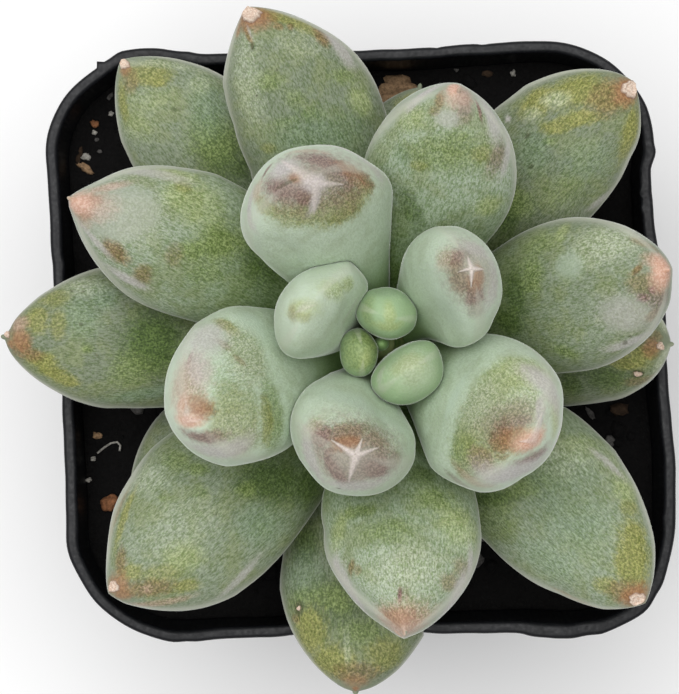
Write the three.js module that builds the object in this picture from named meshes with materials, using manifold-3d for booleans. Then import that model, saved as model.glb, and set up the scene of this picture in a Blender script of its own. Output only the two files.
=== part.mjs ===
// A potted angel's finger pachyveria, in millimetres, +Z up, with its origin under the middle of the pot.
// Plump pointed leaves spiral round a short stem, which stands in gritty soil in a square nursery pot.
import * as THREE from "three";
import { mergeVertices } from "three/addons/utils/BufferGeometryUtils.js";
import Module from "manifold-3d";

const wasm = await Module();
wasm.setup();

// The gap kept between pieces that touch.
const CLEARANCE = 0.3;

// Pot: thin black plastic, with an upright band round its rim and a small stacking shoulder lower down.
const RIM_WIDTH = 64.5;
const RIM_DEPTH = 62;
const RIM_CORNER = 11;
const RIM_THICK = 1.3;
const RIM_ROUND = 0.4;
const POT_HEIGHT = 57;
const BAND_HEIGHT = 9;
const BAND_TAPER = 0.4;
const BAND_STEP = 1.6;
const SHOULDER_Z = 36;
const SHOULDER_STEP = 0.4;
const WALL = 1;
const FLOOR = 1.4;
const BASE_WIDTH = 46;
const BASE_CORNER = 7;
const BASE_ROUND = 1;
const ARC_STEPS = 6;
const BAND_Z = POT_HEIGHT - BAND_HEIGHT;

// Full of soil, the pot bulges out of square: how far out each corner of the rim stands, by its side.
const CORNERS = [
  { side: [1, 1], out: 0 },
  { side: [-1, 1], out: 0.55 },
  { side: [-1, -1], out: -0.45 },
  { side: [1, -1], out: 0.75 },
];

// Drainage: a round hole near each corner of the floor and a slot under the middle of each wall.
const DRAIN_RADIUS = 3;
const DRAIN_OUT = 15;
const SLOT_WIDTH = 7;
const SLOT_HEIGHT = 2.4;
const SLOT_DEPTH = 8;

// Soil: fills the pot up into the rim band, in low swells, with seeded grit and a few larger bark chips.
const SOIL_Z = 49.2;
const SOIL_SWELL = 0.5;
const SOIL_RINGS = 6;
const SOIL_PARTS = 4;
const GRIT_COUNT = 24;
const GRIT_SEED = 31;
const GRIT_NEAR = 10;
const GRIT_FAR = 24;
const CHIPS = [
  { x: 4.9, y: 27, long: 2.3, wide: 1.4, turn: 5 },
  { x: -27.6, y: -16.2, long: 1.4, wide: 1.1, turn: 40 },
  { x: -26.5, y: 21.5, long: 1.3, wide: 0.9, turn: 70 },
];

// Stem: stands in a plain hole in the soil, a little off the pot's middle, with a bud at its tip.
const STEM_X = 2;
const STEM_Y = -0.4;
const STEM_RADIUS = 4;
const STEM_FOOT_Z = 36;
const STEM_SIDES = 20;
const APEX_RADIUS = 1.5;
const APEX_DOME = 1.4;
const BUD_RADIUS = 0.95;
const BUD_HEIGHT = 3.4;

// Rosette: leaf 1 is the youngest, at the apex, and each older leaf grows one step lower down.
const APEX_Z = 75.5;
const LEAF_STEP = 0.95;
const FULL_STEM_LEAF = 11;
const LEAF_SIDES = 12;
const MIDLINE_STEPS = 24;
const TUCK = 1.6;
const NIB_RADIUS = 0.4;
const NIB_LENGTH = 0.55;

// How a leaf swells from its foot to its fattest section and narrows to its tip: foot is the foot's share
// of the full size, and the powers set how soon it swells and how it closes.
const FATTEST_AT = 0.6;
const WIDTH_SHAPE = { foot: 0.38, swelling: 1.25, closing: 1.9 };
const THICKNESS_SHAPE = { foot: 0.46, swelling: 1.1, closing: 2.3, point: 0.62 };
const UPPER_SHARE = 0.42;

// A section is a rounded oval, and turns into a ridged lozenge near the tip.
const OVAL_POWER = 2.15;
const TIP_POWER = 1.6;
const TIP_FROM = 0.8;

// Where a leaf's sections lie, as shares of its length, closer together towards the tip.
const SECTIONS = [0, 0.12, 0.26, 0.4, 0.53, 0.65, 0.75, 0.84, 0.91, 0.96, 0.99];

// around: where the leaf points, counted from +X; rise: how steeply it climbs at its foot and tip;
// bend: how far it curves sideways; twist: how far it is turned on its own length (all in degrees);
// point: 0.6 gives a blunt end and 0.9 a pointed one.
const LEAVES = [
  { around: 195.5, length: 7.7, width: 4.6, thick: 3.7, rise: [76, 98], bend: 0, twist: -14, point: 0.6 },
  { around: 77.5, length: 10.3, width: 6.2, thick: 5.2, rise: [74, 96], bend: 0, twist: -4, point: 0.6 },
  { around: 314.5, length: 12.3, width: 7.3, thick: 5.6, rise: [74, 95], bend: 0, twist: -15, point: 0.6 },
  { around: 149.5, length: 19.5, width: 10.4, thick: 6.8, rise: [62, 86], bend: 9, twist: -26, point: 0.6 },
  { around: 37.5, length: 23.3, width: 11.8, thick: 8, rise: [56, 82], bend: 0, twist: -20, point: 0.6 },
  { around: 252.5, length: 24, width: 12.4, thick: 9.6, rise: [58, 84], bend: 2, twist: -8, point: 0.6 },
  { around: 114.5, length: 30.6, width: 15, thick: 10.6, rise: [47, 77], bend: 0, twist: 0, point: 0.62 },
  { around: 324.5, length: 29.5, width: 14.2, thick: 10.4, rise: [50, 76], bend: -1, twist: 0, point: 0.62 },
  { around: 192.5, length: 29.8, width: 15, thick: 9.6, rise: [46, 70], bend: 11, twist: 0, point: 0.66 },
  { around: 67.8, length: 30.9, width: 15.2, thick: 9.8, rise: [38, 52], bend: 4.5, twist: 0, point: 0.66 },
  { around: 273.5, length: 32.4, width: 16, thick: 10, rise: [34, 48], bend: -3, twist: 0, point: 0.92 },
  { around: 150, length: 34.6, width: 14.8, thick: 10, rise: [24, 36], bend: 3, twist: 0, point: 0.82 },
  { around: 12.5, length: 32, width: 14.8, thick: 10, rise: [26, 50], bend: -1, twist: 0, point: 0.74 },
  { around: 223.3, length: 36, width: 17.2, thick: 10.2, rise: [18, 30], bend: -5, twist: 0, point: 0.82 },
  { around: 104, length: 35.2, width: 16.2, thick: 10.2, rise: [18, 30], bend: 6, twist: 0, point: 0.9 },
  { around: 315.2, length: 35.4, width: 16.4, thick: 10, rise: [15, 27], bend: -3, twist: 0, point: 0.8 },
  { around: 177, length: 36.1, width: 14.8, thick: 9.6, rise: [14, 22], bend: -2, twist: 0, point: 0.8 },
  { around: 45, length: 34.5, width: 16.1, thick: 9.4, rise: [12, 24], bend: -2, twist: 0, point: 0.72 },
  { around: 261.5, length: 32.8, width: 16.2, thick: 9.4, rise: [10, 20], bend: 2.5, twist: 0, point: 0.85 },
  { around: 129.5, length: 36.5, width: 15.2, thick: 9.2, rise: [8, 18], bend: 0, twist: 0, point: 0.76 },
  { around: 357.5, length: 27.1, width: 13.6, thick: 9, rise: [8, 30], bend: 0, twist: 0, point: 0.66 },
  { around: 211, length: 27.5, width: 14, thick: 9, rise: [5, 14], bend: 0, twist: 0, point: 0.76 },
  { around: 78.5, length: 23.6, width: 13.4, thick: 9, rise: [5, 14], bend: 0, twist: 0, point: 0.7 },
];

const COLOURS = {
  pot: 0x17181b,
  soil: 0x1c1814,
  stem: 0x8fa06f,
  bud: 0xa9bf86,
  leaf: 0x8fa883,
};

// A closed geometry from rings of points, with one point closing each end.
function skinOf(rings, first, last) {
  const sides = rings[0].length;
  const points = [...rings.flat(), first, last];
  const firstAt = points.length - 2;
  const lastAt = points.length - 1;
  const faces = [];
  for (let side = 0; side < sides; side++) {
    const next = (side + 1) % sides;
    faces.push(firstAt, next, side);
    for (let ring = 0; ring < rings.length - 1; ring++) {
      const low = ring * sides;
      const high = low + sides;
      faces.push(low + side, low + next, high + next, low + side, high + next, high + side);
    }
    const top = (rings.length - 1) * sides;
    faces.push(lastAt, top + side, top + next);
  }
  const geometry = new THREE.BufferGeometry();
  geometry.setAttribute("position", new THREE.Float32BufferAttribute(points.flatMap((p) => p.toArray()), 3));
  geometry.setIndex(faces);
  return geometry;
}

// A three.js geometry as a solid that can be cut and joined, and back again.
function solidOf(geometry) {
  const bare = geometry.index ? geometry.toNonIndexed() : geometry.clone();
  bare.deleteAttribute("normal");
  bare.deleteAttribute("uv");
  const merged = mergeVertices(bare, 1e-4);
  return new wasm.Manifold(
    new wasm.Mesh({
      numProp: 3,
      vertProperties: merged.attributes.position.array,
      triVerts: new Uint32Array(merged.index.array),
    }),
  );
}

function geometryOf(solid) {
  const mesh = solid.getMesh();
  const geometry = new THREE.BufferGeometry();
  geometry.setAttribute("position", new THREE.BufferAttribute(mesh.vertProperties, 3));
  geometry.setIndex(new THREE.BufferAttribute(mesh.triVerts, 1));
  return geometry;
}

// A point of the pot, moved with the corners of the rim, and less towards the base.
function bulged(x, y, z) {
  const point = new THREE.Vector3(x, y, z);
  for (const { side, out } of CORNERS) {
    const nearX = (1 + (side[0] * 2 * x) / RIM_WIDTH) / 2;
    const nearY = (1 + (side[1] * 2 * y) / RIM_DEPTH) / 2;
    const move = (out * nearX * nearY * z) / POT_HEIGHT;
    point.x += side[0] * move;
    point.y += side[1] * move;
  }
  return point;
}

// One level of the pot: a rounded rectangle of points at height z.
function levelOf(width, corner, z) {
  const straightX = width / 2 - corner;
  const straightY = (width * RIM_DEPTH) / RIM_WIDTH / 2 - corner;
  return CORNERS.flatMap(({ side }, quarter) => {
    return Array.from({ length: ARC_STEPS + 1 }, (_, step) => {
      const angle = ((quarter + step / ARC_STEPS) * Math.PI) / 2;
      const x = side[0] * straightX + corner * Math.cos(angle);
      const y = side[1] * straightY + corner * Math.sin(angle);
      return bulged(x, y, z);
    });
  });
}

// A level of the tapered wall, by millimetres inside its outer face.
function wallLevel(by, z) {
  const under = RIM_WIDTH - 2 * BAND_STEP;
  const step = z < SHOULDER_Z ? SHOULDER_STEP : 0;
  const width = BASE_WIDTH + ((under - BASE_WIDTH) * z) / BAND_Z - 2 * step;
  const corner = BASE_CORNER + ((RIM_CORNER - BASE_CORNER) * z) / POT_HEIGHT;
  return levelOf(width - 2 * by, corner - by, z);
}

// A level of the rim band, by millimetres inside its outer face.
function bandLevel(by, z) {
  return levelOf(RIM_WIDTH - 2 * by, RIM_CORNER - by, z);
}

function potSolid() {
  const underShoulder = SHOULDER_Z - 0.5;
  const overShoulder = SHOULDER_Z + 0.3;
  const underBand = BAND_Z - 0.8;
  const inBand = BAND_Z + 0.3;
  const rings = [
    wallLevel(BASE_ROUND, 0),
    wallLevel(0, BASE_ROUND),
    wallLevel(0, underShoulder),
    wallLevel(0, overShoulder),
    wallLevel(0, underBand),
    bandLevel(BAND_TAPER, BAND_Z),
    bandLevel(0, POT_HEIGHT - RIM_ROUND),
    bandLevel(RIM_ROUND, POT_HEIGHT),
    bandLevel(RIM_THICK - RIM_ROUND, POT_HEIGHT),
    bandLevel(RIM_THICK, POT_HEIGHT - RIM_ROUND),
    bandLevel(RIM_THICK + BAND_TAPER, inBand),
    wallLevel(WALL, underBand),
    wallLevel(WALL, overShoulder),
    wallLevel(WALL, underShoulder),
    wallLevel(WALL, FLOOR),
  ];
  let pot = solidOf(skinOf(rings, new THREE.Vector3(), new THREE.Vector3(0, 0, FLOOR)));
  for (const { side } of CORNERS) {
    const drain = new THREE.CylinderGeometry(DRAIN_RADIUS, DRAIN_RADIUS, 3 * FLOOR, 12);
    drain.rotateX(Math.PI / 2);
    drain.translate(side[0] * DRAIN_OUT, side[1] * DRAIN_OUT, FLOOR / 2);
    pot = pot.subtract(solidOf(drain));
  }
  const wallX = BASE_WIDTH / 2;
  const wallY = (wallX * RIM_DEPTH) / RIM_WIDTH;
  for (const [x, y] of [[wallX, 0], [0, wallY], [-wallX, 0], [0, -wallY]]) {
    const slot = new THREE.BoxGeometry(SLOT_DEPTH, SLOT_WIDTH, 2 * SLOT_HEIGHT);
    slot.rotateZ(Math.atan2(y, x));
    slot.translate(x, y, 0);
    pot = pot.subtract(solidOf(slot));
  }
  return pot;
}

// Height of the soil at a point: low swells, as watering leaves them.
function soilHeight(x, y) {
  const swells = Math.sin(0.31 * x + 0.9) * Math.cos(0.27 * y - 0.4) + 0.4 * Math.sin(0.45 * x - 0.35 * y);
  return SOIL_Z + SOIL_SWELL * swells;
}

// The same run of random numbers every time.
function randomRun(seed) {
  let state = seed;
  return () => {
    state = (state * 16807) % 2147483647;
    return state / 2147483647;
  };
}

// A level with its straight sides cut into equal lengths.
function divided(level) {
  return level.flatMap((point, i) => {
    const next = level[(i + 1) % level.length];
    const cuts = i % (ARC_STEPS + 1) === ARC_STEPS ? SOIL_PARTS : 1;
    return Array.from({ length: cuts }, (_, cut) => point.clone().lerp(next, cut / cuts));
  });
}

// The bare soil: up the inside of the pot, in over the top to the stem's hole, and down it.
function earthSolid() {
  const onTop = (p) => new THREE.Vector3(p.x, p.y, soilHeight(p.x, p.y));
  const inWall = (z) => divided(wallLevel(WALL + CLEARANCE, z));
  const footZ = FLOOR + CLEARANCE;
  const holeZ = STEM_FOOT_Z - CLEARANCE;
  const edge = divided(bandLevel(RIM_THICK + BAND_TAPER + CLEARANCE, SOIL_Z)).map(onTop);
  const hole = edge.map((p) => {
    const out = new THREE.Vector3(p.x - STEM_X, p.y - STEM_Y, 0).setLength(STEM_RADIUS + CLEARANCE);
    return onTop(new THREE.Vector3(STEM_X, STEM_Y, 0).add(out));
  });
  const rings = [inWall(footZ), inWall(SHOULDER_Z - 0.6), inWall(SHOULDER_Z + 0.6), inWall(BAND_Z - 1)];
  for (let ring = 0; ring <= SOIL_RINGS; ring++) {
    rings.push(edge.map((p, i) => onTop(p.clone().lerp(hole[i], ring / SOIL_RINGS))));
  }
  rings.push(hole.map((p) => p.clone().setZ(holeZ)));
  return solidOf(skinOf(rings, new THREE.Vector3(0, 0, footZ), new THREE.Vector3(STEM_X, STEM_Y, holeZ)));
}

// A pebble or chip sunk half into the soil.
function pebbleSolid(x, y, long, wide, turn) {
  const pebble = new THREE.IcosahedronGeometry(1, 0);
  pebble.scale(long, wide, 0.75 * wide);
  pebble.rotateZ(THREE.MathUtils.degToRad(turn));
  pebble.translate(x, y, soilHeight(x, y));
  return solidOf(pebble);
}

function soilSolid() {
  const random = randomRun(GRIT_SEED);
  let soil = earthSolid();
  for (let bit = 0; bit < GRIT_COUNT; bit++) {
    const around = 2 * Math.PI * random();
    const out = GRIT_NEAR + (GRIT_FAR - GRIT_NEAR) * Math.sqrt(random());
    const wide = 0.7 + 1.1 * random() ** 3;
    const long = wide * (1.1 + 0.6 * random());
    const turn = 180 * random();
    soil = soil.add(pebbleSolid(out * Math.cos(around), out * Math.sin(around), long, wide, turn));
  }
  for (const chip of CHIPS) {
    soil = soil.add(pebbleSolid(chip.x, chip.y, chip.long, chip.wide, chip.turn));
  }
  return soil;
}

// The stem's radius where leaf number n grows from it.
function stemRadiusAt(n) {
  const share = Math.min(1, (n - 1) / (FULL_STEM_LEAF - 1));
  return APEX_RADIUS + (STEM_RADIUS - APEX_RADIUS) * share ** 0.8;
}

function leafHeight(n) {
  return APEX_Z - LEAF_STEP * (n - 1);
}

// A profile of [radius, height] pairs turned round the stem's axis. It starts and ends on the axis,
// and grow moves its sides out, its first two points down and its last up.
function turnedSolid(profile, grow) {
  const last = profile.length - 1;
  const points = profile.map(([radius, z], i) => {
    const onAxis = i === 0 || i === last;
    const up = (i < 2 ? -grow : 0) + (i === last ? grow : 0);
    return new THREE.Vector2(onAxis ? 0 : radius + grow, z + up);
  });
  const geometry = new THREE.LatheGeometry(points, STEM_SIDES);
  geometry.rotateX(Math.PI / 2);
  geometry.translate(STEM_X, STEM_Y, 0);
  return solidOf(geometry);
}

function stemSolid(grow) {
  const shoulders = [FULL_STEM_LEAF, 8, 5, 3, 1].map((n) => [stemRadiusAt(n), leafHeight(n)]);
  const foot = [[0, STEM_FOOT_Z], [STEM_RADIUS - 0.8, STEM_FOOT_Z], [STEM_RADIUS, STEM_FOOT_Z + 2]];
  const dome = [[0.6 * APEX_RADIUS, APEX_Z + 0.75 * APEX_DOME], [0, APEX_Z + APEX_DOME]];
  return turnedSolid([...foot, ...shoulders, ...dome], grow);
}

// The unopened bud, which stands on the stem's dome.
function budSolid(grow) {
  const z = APEX_Z + APEX_DOME + CLEARANCE;
  const at = (radius, height) => [radius * BUD_RADIUS, z + height * BUD_HEIGHT];
  return turnedSolid([at(0, 0), at(0.5, 0), at(0.9, 0.2), at(1, 0.45), at(0.7, 0.75), at(0, 1)], grow);
}

// The share of its full size that a leaf has at share t of its length.
function sizeAt(t, { foot, swelling, closing, point }) {
  if (t < FATTEST_AT) {
    return foot + (1 - foot) * Math.sin(((t / FATTEST_AT) * Math.PI) / 2) ** swelling;
  }
  return (1 - ((t - FATTEST_AT) / (1 - FATTEST_AT)) ** closing) ** point;
}

// A leaf's midline: its place, and the directions along and across the leaf, at share t of its length.
function midline(leaf, n) {
  const degrees = [leaf.around, leaf.bend, leaf.twist, ...leaf.rise];
  const [around, bend, twist, footRise, tipRise] = degrees.map(THREE.MathUtils.degToRad);
  const heading = (t) => around + 2 * bend * t ** 1.5;
  const along = (t) => {
    const rise = footRise + (tipRise - footRise) * t;
    const level = new THREE.Vector3(Math.cos(heading(t)), Math.sin(heading(t)), 0);
    return level.multiplyScalar(Math.cos(rise)).setZ(Math.sin(rise));
  };
  const start = stemRadiusAt(n) + CLEARANCE;
  const place = (t) => {
    const at = new THREE.Vector3(STEM_X, STEM_Y, leafHeight(n));
    at.x += start * Math.cos(around);
    at.y += start * Math.sin(around);
    for (let step = 0; step < MIDLINE_STEPS; step++) {
      at.addScaledVector(along((t * (step + 0.5)) / MIDLINE_STEPS), (leaf.length * t) / MIDLINE_STEPS);
    }
    return at;
  };
  const across = (t) => {
    return new THREE.Vector3(-Math.sin(heading(t)), Math.cos(heading(t)), 0).applyAxisAngle(along(t), twist);
  };
  return { along, across, place };
}

// One leaf, grown outwards by grow where its older neighbours are to be cut clear of it.
function leafSolid(leaf, n, grow = 0) {
  const { along, across, place } = midline(leaf, n);
  const sectionAt = (t, centre) => {
    const side = across(t);
    const up = new THREE.Vector3().crossVectors(along(t), side);
    const wide = (leaf.width / 2) * sizeAt(t, { ...WIDTH_SHAPE, point: leaf.point }) + grow;
    const thick = leaf.thick * sizeAt(t, THICKNESS_SHAPE);
    const tipward = Math.max(0, (t - TIP_FROM) / (1 - TIP_FROM)) ** 1.5;
    const power = 2 / (OVAL_POWER + (TIP_POWER - OVAL_POWER) * tipward);
    return Array.from({ length: LEAF_SIDES }, (_, i) => {
      const angle = (2 * Math.PI * i) / LEAF_SIDES;
      const c = Math.cos(angle);
      const s = Math.sin(angle);
      const reach = thick * (s > 0 ? UPPER_SHARE : 1 - UPPER_SHARE) + grow;
      const out = Math.sign(c) * Math.abs(c) ** power * wide;
      const high = Math.sign(s) * Math.abs(s) ** power * reach;
      return centre.clone().addScaledVector(side, out).addScaledVector(up, high);
    });
  };
  const tuck = place(0).addScaledVector(along(0), -TUCK);
  const tip = place(1);
  const lastAt = SECTIONS[SECTIONS.length - 1];
  const nib = sectionAt(lastAt, new THREE.Vector3()).map((p) => p.setLength(NIB_RADIUS + grow).add(tip));
  const rings = [sectionAt(0, tuck), ...SECTIONS.map((t) => sectionAt(t, place(t))), nib];
  const end = tip.clone().addScaledVector(along(1), NIB_LENGTH + grow);
  return solidOf(skinOf(rings, tuck, end));
}

function meshOf(name, solid, color, roughness) {
  const material = new THREE.MeshStandardMaterial({ color, roughness, metalness: 0 });
  const mesh = new THREE.Mesh(geometryOf(solid), material);
  mesh.name = name;
  return mesh;
}

const plant = new THREE.Group();
plant.add(meshOf("pot", potSolid(), COLOURS.pot, 0.5));
plant.add(meshOf("soil", soilSolid(), COLOURS.soil, 0.95));
plant.add(meshOf("stem", stemSolid(0), COLOURS.stem, 0.6));
plant.add(meshOf("bud", budSolid(0), COLOURS.bud, 0.5));

// Each leaf is cut clear of the stem, and dented where a younger leaf or the bud presses on it.
const pressing = [stemSolid(CLEARANCE), budSolid(CLEARANCE)];
LEAVES.forEach((leaf, i) => {
  let solid = leafSolid(leaf, i + 1);
  for (const other of pressing) {
    if (solid.intersect(other).volume() > 0) {
      solid = solid.subtract(other);
    }
  }
  pressing.push(leafSolid(leaf, i + 1, CLEARANCE));
  plant.add(meshOf(`leaf_${String(i + 1).padStart(2, "0")}`, solid, COLOURS.leaf, 0.55));
});

export default plant;
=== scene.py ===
# A potted angel's finger pachyveria: plump waxy leaves round a short stem, in a square black nursery pot.
# Sizes are in millimetres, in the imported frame, and MM turns them into Blender's metres.
import math

import bmesh
import bpy
import numpy as np
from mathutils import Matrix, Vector, noise
from mathutils.bvhtree import BVHTree


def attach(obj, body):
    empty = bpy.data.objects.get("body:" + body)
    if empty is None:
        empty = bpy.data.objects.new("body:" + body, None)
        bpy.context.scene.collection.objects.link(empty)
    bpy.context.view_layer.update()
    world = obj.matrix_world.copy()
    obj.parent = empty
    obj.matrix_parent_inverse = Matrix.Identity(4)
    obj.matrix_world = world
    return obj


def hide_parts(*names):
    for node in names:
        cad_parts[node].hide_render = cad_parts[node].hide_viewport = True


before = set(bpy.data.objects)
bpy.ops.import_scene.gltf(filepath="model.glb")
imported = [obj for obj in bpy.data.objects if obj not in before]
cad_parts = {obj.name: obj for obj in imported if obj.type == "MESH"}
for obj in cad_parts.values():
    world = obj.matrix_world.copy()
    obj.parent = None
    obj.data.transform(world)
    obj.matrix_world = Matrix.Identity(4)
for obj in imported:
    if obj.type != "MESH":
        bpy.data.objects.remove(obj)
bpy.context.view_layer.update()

# The studio: a pale floor under a wide soft light, seen from straight above.
# The camera hangs 437 mm over the surface, a little left of the pot's middle, turned by 2.5 degrees.
MM = 0.001
FLOOR_SIZE = 6000
FLOOR_COLOUR = (0.94, 0.94, 0.94, 1)
CAMERA_PLACE = (-2.22, -0.54, 437)
CAMERA_TURN = -2.5
FOCAL_PIXELS = 3561
PHOTO_HEIGHT = 694
SENSOR_HEIGHT = 36
SOFTBOX_SIZE = 1100
SOFTBOX_PLACE = (-120, 180, 1300)
SOFTBOX_POWER = 17.5
SKY_STRENGTH = 0.34


def put(name, data):
    """A mesh, camera or light, put in the scene as an object."""
    thing = bpy.data.objects.new(name, data)
    bpy.context.scene.collection.objects.link(thing)
    return thing


def mesh_piece(name, points, faces, material):
    """A smooth mesh object from points in millimetres."""
    mesh = bpy.data.meshes.new(name)
    mesh.from_pydata((np.asarray(points, float) * MM).tolist(), [], faces)
    mesh.validate()
    mesh.shade_smooth()
    if material:
        mesh.materials.append(material)
    return put(name, mesh)


def add(tree, kind, values=None, **settings):
    """Adds a shader node. A value is a plain one, or the socket that feeds it."""
    made = tree.nodes.new("ShaderNode" + kind)
    for name, setting in settings.items():
        setattr(made, name, setting)
    for name, value in (values or {}).items():
        socket = made.inputs[name]
        if isinstance(value, bpy.types.NodeSocket):
            tree.links.new(value, socket)
        else:
            socket.default_value = value
    return made


def material_with(name, shader_values):
    """A material with one Principled shader, its plain values set on its own sockets."""
    material = bpy.data.materials.new(name)
    material.use_nodes = True
    tree = material.node_tree
    shader = tree.nodes["Principled BSDF"]
    for socket, value in shader_values.items():
        shader.inputs[socket].default_value = value
    return material, tree, shader


def build_studio():
    half = FLOOR_SIZE / 2
    material, _, _ = material_with("pale_floor", {"Base Color": FLOOR_COLOUR, "Roughness": 0.9})
    corners = [(-half, -half, 0), (half, -half, 0), (half, half, 0), (-half, half, 0)]
    mesh_piece("floor", corners, [(0, 1, 2, 3)], material)

    camera = bpy.data.cameras.new("camera")
    camera.sensor_fit = "VERTICAL"
    camera.sensor_height = SENSOR_HEIGHT
    camera.lens = SENSOR_HEIGHT * FOCAL_PIXELS / PHOTO_HEIGHT
    holder = put("camera", camera)
    holder.location = Vector(CAMERA_PLACE) * MM
    holder.rotation_euler = (0, 0, math.radians(CAMERA_TURN))
    bpy.context.scene.camera = holder

    softbox = bpy.data.lights.new("softbox", "AREA")
    softbox.size = SOFTBOX_SIZE * MM
    softbox.energy = SOFTBOX_POWER
    lamp = put("softbox", softbox)
    lamp.location = Vector(SOFTBOX_PLACE) * MM
    lamp.rotation_euler = lamp.location.to_track_quat("Z", "Y").to_euler()

    sky = bpy.data.worlds.new("sky")
    sky.use_nodes = True
    sky.node_tree.nodes["Background"].inputs["Color"].default_value = (1, 1, 1, 1)
    sky.node_tree.nodes["Background"].inputs["Strength"].default_value = SKY_STRENGTH
    bpy.context.scene.world = sky
    bpy.context.scene.view_settings.view_transform = "Standard"


build_studio()

# The pot: a square nursery pot, thin black polypropylene, injection moulded in one piece.
# It has an upright band round its rim, a stacking shoulder, and drain holes in and beside its floor.
# Full of soil it bulges out of square, and its thin rim is wavy and nicked.
RIM_WIDTH = 64.5
RIM_DEPTH = 62
RIM_CORNER = 11
RIM_THICK = 1.3
RIM_ROUND = 0.4
POT_HEIGHT = 57
BAND_Z = 48
BAND_TAPER = 0.4
BAND_STEP = 1.6
SHOULDER_Z = 36
SHOULDER_STEP = 0.4
STEP_BELOW = 0.5
STEP_ABOVE = 0.3
WALL = 1
WALL_TOP = BAND_Z - 0.8
FLOOR = 1.4
BASE_WIDTH = 46
BASE_CORNER = 7
BASE_ROUND = 1
CORNER_OUT = (((1, 1), 0), ((-1, 1), 0.55), ((-1, -1), -0.45), ((1, -1), 0.75))
ARC_STEPS = 36
SIDE_STEPS = 100
ROUND_STEPS = 5
DRAIN_RADIUS = 3
DRAIN_OUT = 15
DRAIN_SIDES = 48
SLOT_WIDTH = 7
SLOT_HEIGHT = 2.4
SLOT_DEPTH = 8
# The rim's waves out and up: how far, how many round the pot, and where they start.
RIM_WAVES = ((0.11, 5, 1.1), (0.07, 11, 0.4), (0.04, 23, 0), (0.025, 47, 2))
RIM_DIPS = ((0.07, 7, 0.6), (0.04, 19, 0))
# Nicks and burrs of the rim: where it is, how wide, and how deep, or out where below nought.
RIM_NICKS = (
    (31.2, 14.6, 0.45, 0.55),
    (31.0, 12.9, 0.4, 0.3),
    (31.9, 18.6, 0.9, -0.4),
    (30.5, 23.2, 0.8, -0.25),
    (-26.2, 30.6, 0.25, -0.9),
    (14.5, 31.4, 0.5, 0.18),
    (9.5, 31.1, 0.35, 0.15),
    (22.5, -31.6, 1.2, 0.25),
    (31.5, -20.5, 0.9, 0.2),
    (-31.6, 9.5, 0.7, 0.2),
    (-20.0, -31.3, 0.9, 0.15),
)
SHARPEST_RIM_Z = 53
# Where the full pot bulges or is dented: x, y, how far round that reaches, and the move in x and y.
RIM_PUSHES = (
    (-23.6, 31.4, 2.2, 0, 0.9), (-20.5, 31.6, 2.6, 0, 0.95), (-17.8, 31.2, 1.8, 0, 0.35),
    (-32, -20.5, 3, -0.3, 0), (-20, -31, 4, 0, -0.5), (-12, -31, 4, 0, -0.42), (8, -31.4, 4, 0, -0.33),
    (14, -31.6, 3, 0, -0.38), (17.8, -32, 1.5, 0, -0.85), (21, -32.2, 3, 0, -1.15),
    (25.5, -31.2, 2.2, 0.1, -1), (28.3, -29.9, 2, 0.9, -0.7), (30.5, -27.5, 2, 0.35, -0.45),
    (32.6, -13.5, 5, 0.35, 0), (31.8, 12, 5, -0.55, 0), (31.8, 16, 2, -0.45, 0),
    (6, 30.9, 7, 0, -0.35), (19.5, 31.2, 3, 0, 0.22),
)
PLASTIC_DEEP = (0.0035, 0.0038, 0.0055, 1)
PLASTIC_DUSTY = (0.03, 0.03, 0.034, 1)


def moved_by(spots, pushes, spread=1):
    """How far pushes move each spot, seen from above. Each fades with its reach times the spread.
    Where several meet, they are averaged and don't add up."""
    total, moves = np.zeros(len(spots)), np.zeros((len(spots), 2))
    for x, y, reach, out_x, out_y in pushes:
        weight = np.exp(-((spots - (x, y)) ** 2).sum(axis=1) / (reach * spread) ** 2)
        total += weight
        moves += weight[:, None] * (out_x, out_y)
    return moves / np.maximum(total, 1)[:, None]


def pot_level(width, corner, z):
    """One level of the pot: a rounded rectangle, with its sides and corners pushed out as the soil does."""
    straight = np.array((width / 2 - corner, width * RIM_DEPTH / RIM_WIDTH / 2 - corner))
    arcs = []
    for quarter, (side, _) in enumerate(CORNER_OUT):
        angle = (quarter + np.linspace(0, 1, ARC_STEPS + 1)) * math.pi / 2
        arcs.append(straight * side + corner * np.column_stack([np.cos(angle), np.sin(angle)]))
    ring = []
    for arc, next_arc in zip(arcs, arcs[1:] + arcs[:1]):
        ring += [arc, np.linspace(arc[-1], next_arc[0], SIDE_STEPS + 1)[1:-1]]
    ring = np.vstack(ring)
    moved = ring.copy()
    for side, out in CORNER_OUT:
        near = (1 + 2 * ring * side / (RIM_WIDTH, RIM_DEPTH)) / 2
        moved += np.outer(out * near[:, 0] * near[:, 1] * z / POT_HEIGHT, side)
    moved += moved_by(moved, RIM_PUSHES) * z / POT_HEIGHT
    return np.column_stack([moved, np.full(len(moved), float(z))])


def wall_level(inset, z):
    under = RIM_WIDTH - 2 * BAND_STEP
    step = SHOULDER_STEP if z < SHOULDER_Z else 0
    width = BASE_WIDTH + (under - BASE_WIDTH) * z / BAND_Z - 2 * step
    corner = BASE_CORNER + (RIM_CORNER - BASE_CORNER) * z / POT_HEIGHT
    return pot_level(width - 2 * inset, corner - inset, z)


def wall_levels(inset, first, last, count):
    return [wall_level(inset, z) for z in np.linspace(first, last, count)]


def band_level(inset, z):
    return pot_level(RIM_WIDTH - 2 * inset, RIM_CORNER - inset, z)


def ringed_faces(rings, sides):
    """Quads between rings of points, then a fan at each end round its own last point."""
    faces = []
    first = rings * sides
    for low in range(0, first - sides, sides):
        high = low + sides
        for side in range(sides):
            after = (side + 1) % sides
            faces.append((low + side, low + after, high + after, high + side))
    for side in range(sides):
        after = (side + 1) % sides
        faces.append((first, after, side))
        faces.append((first + 1, first - sides + side, first - sides + after))
    return faces


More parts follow.
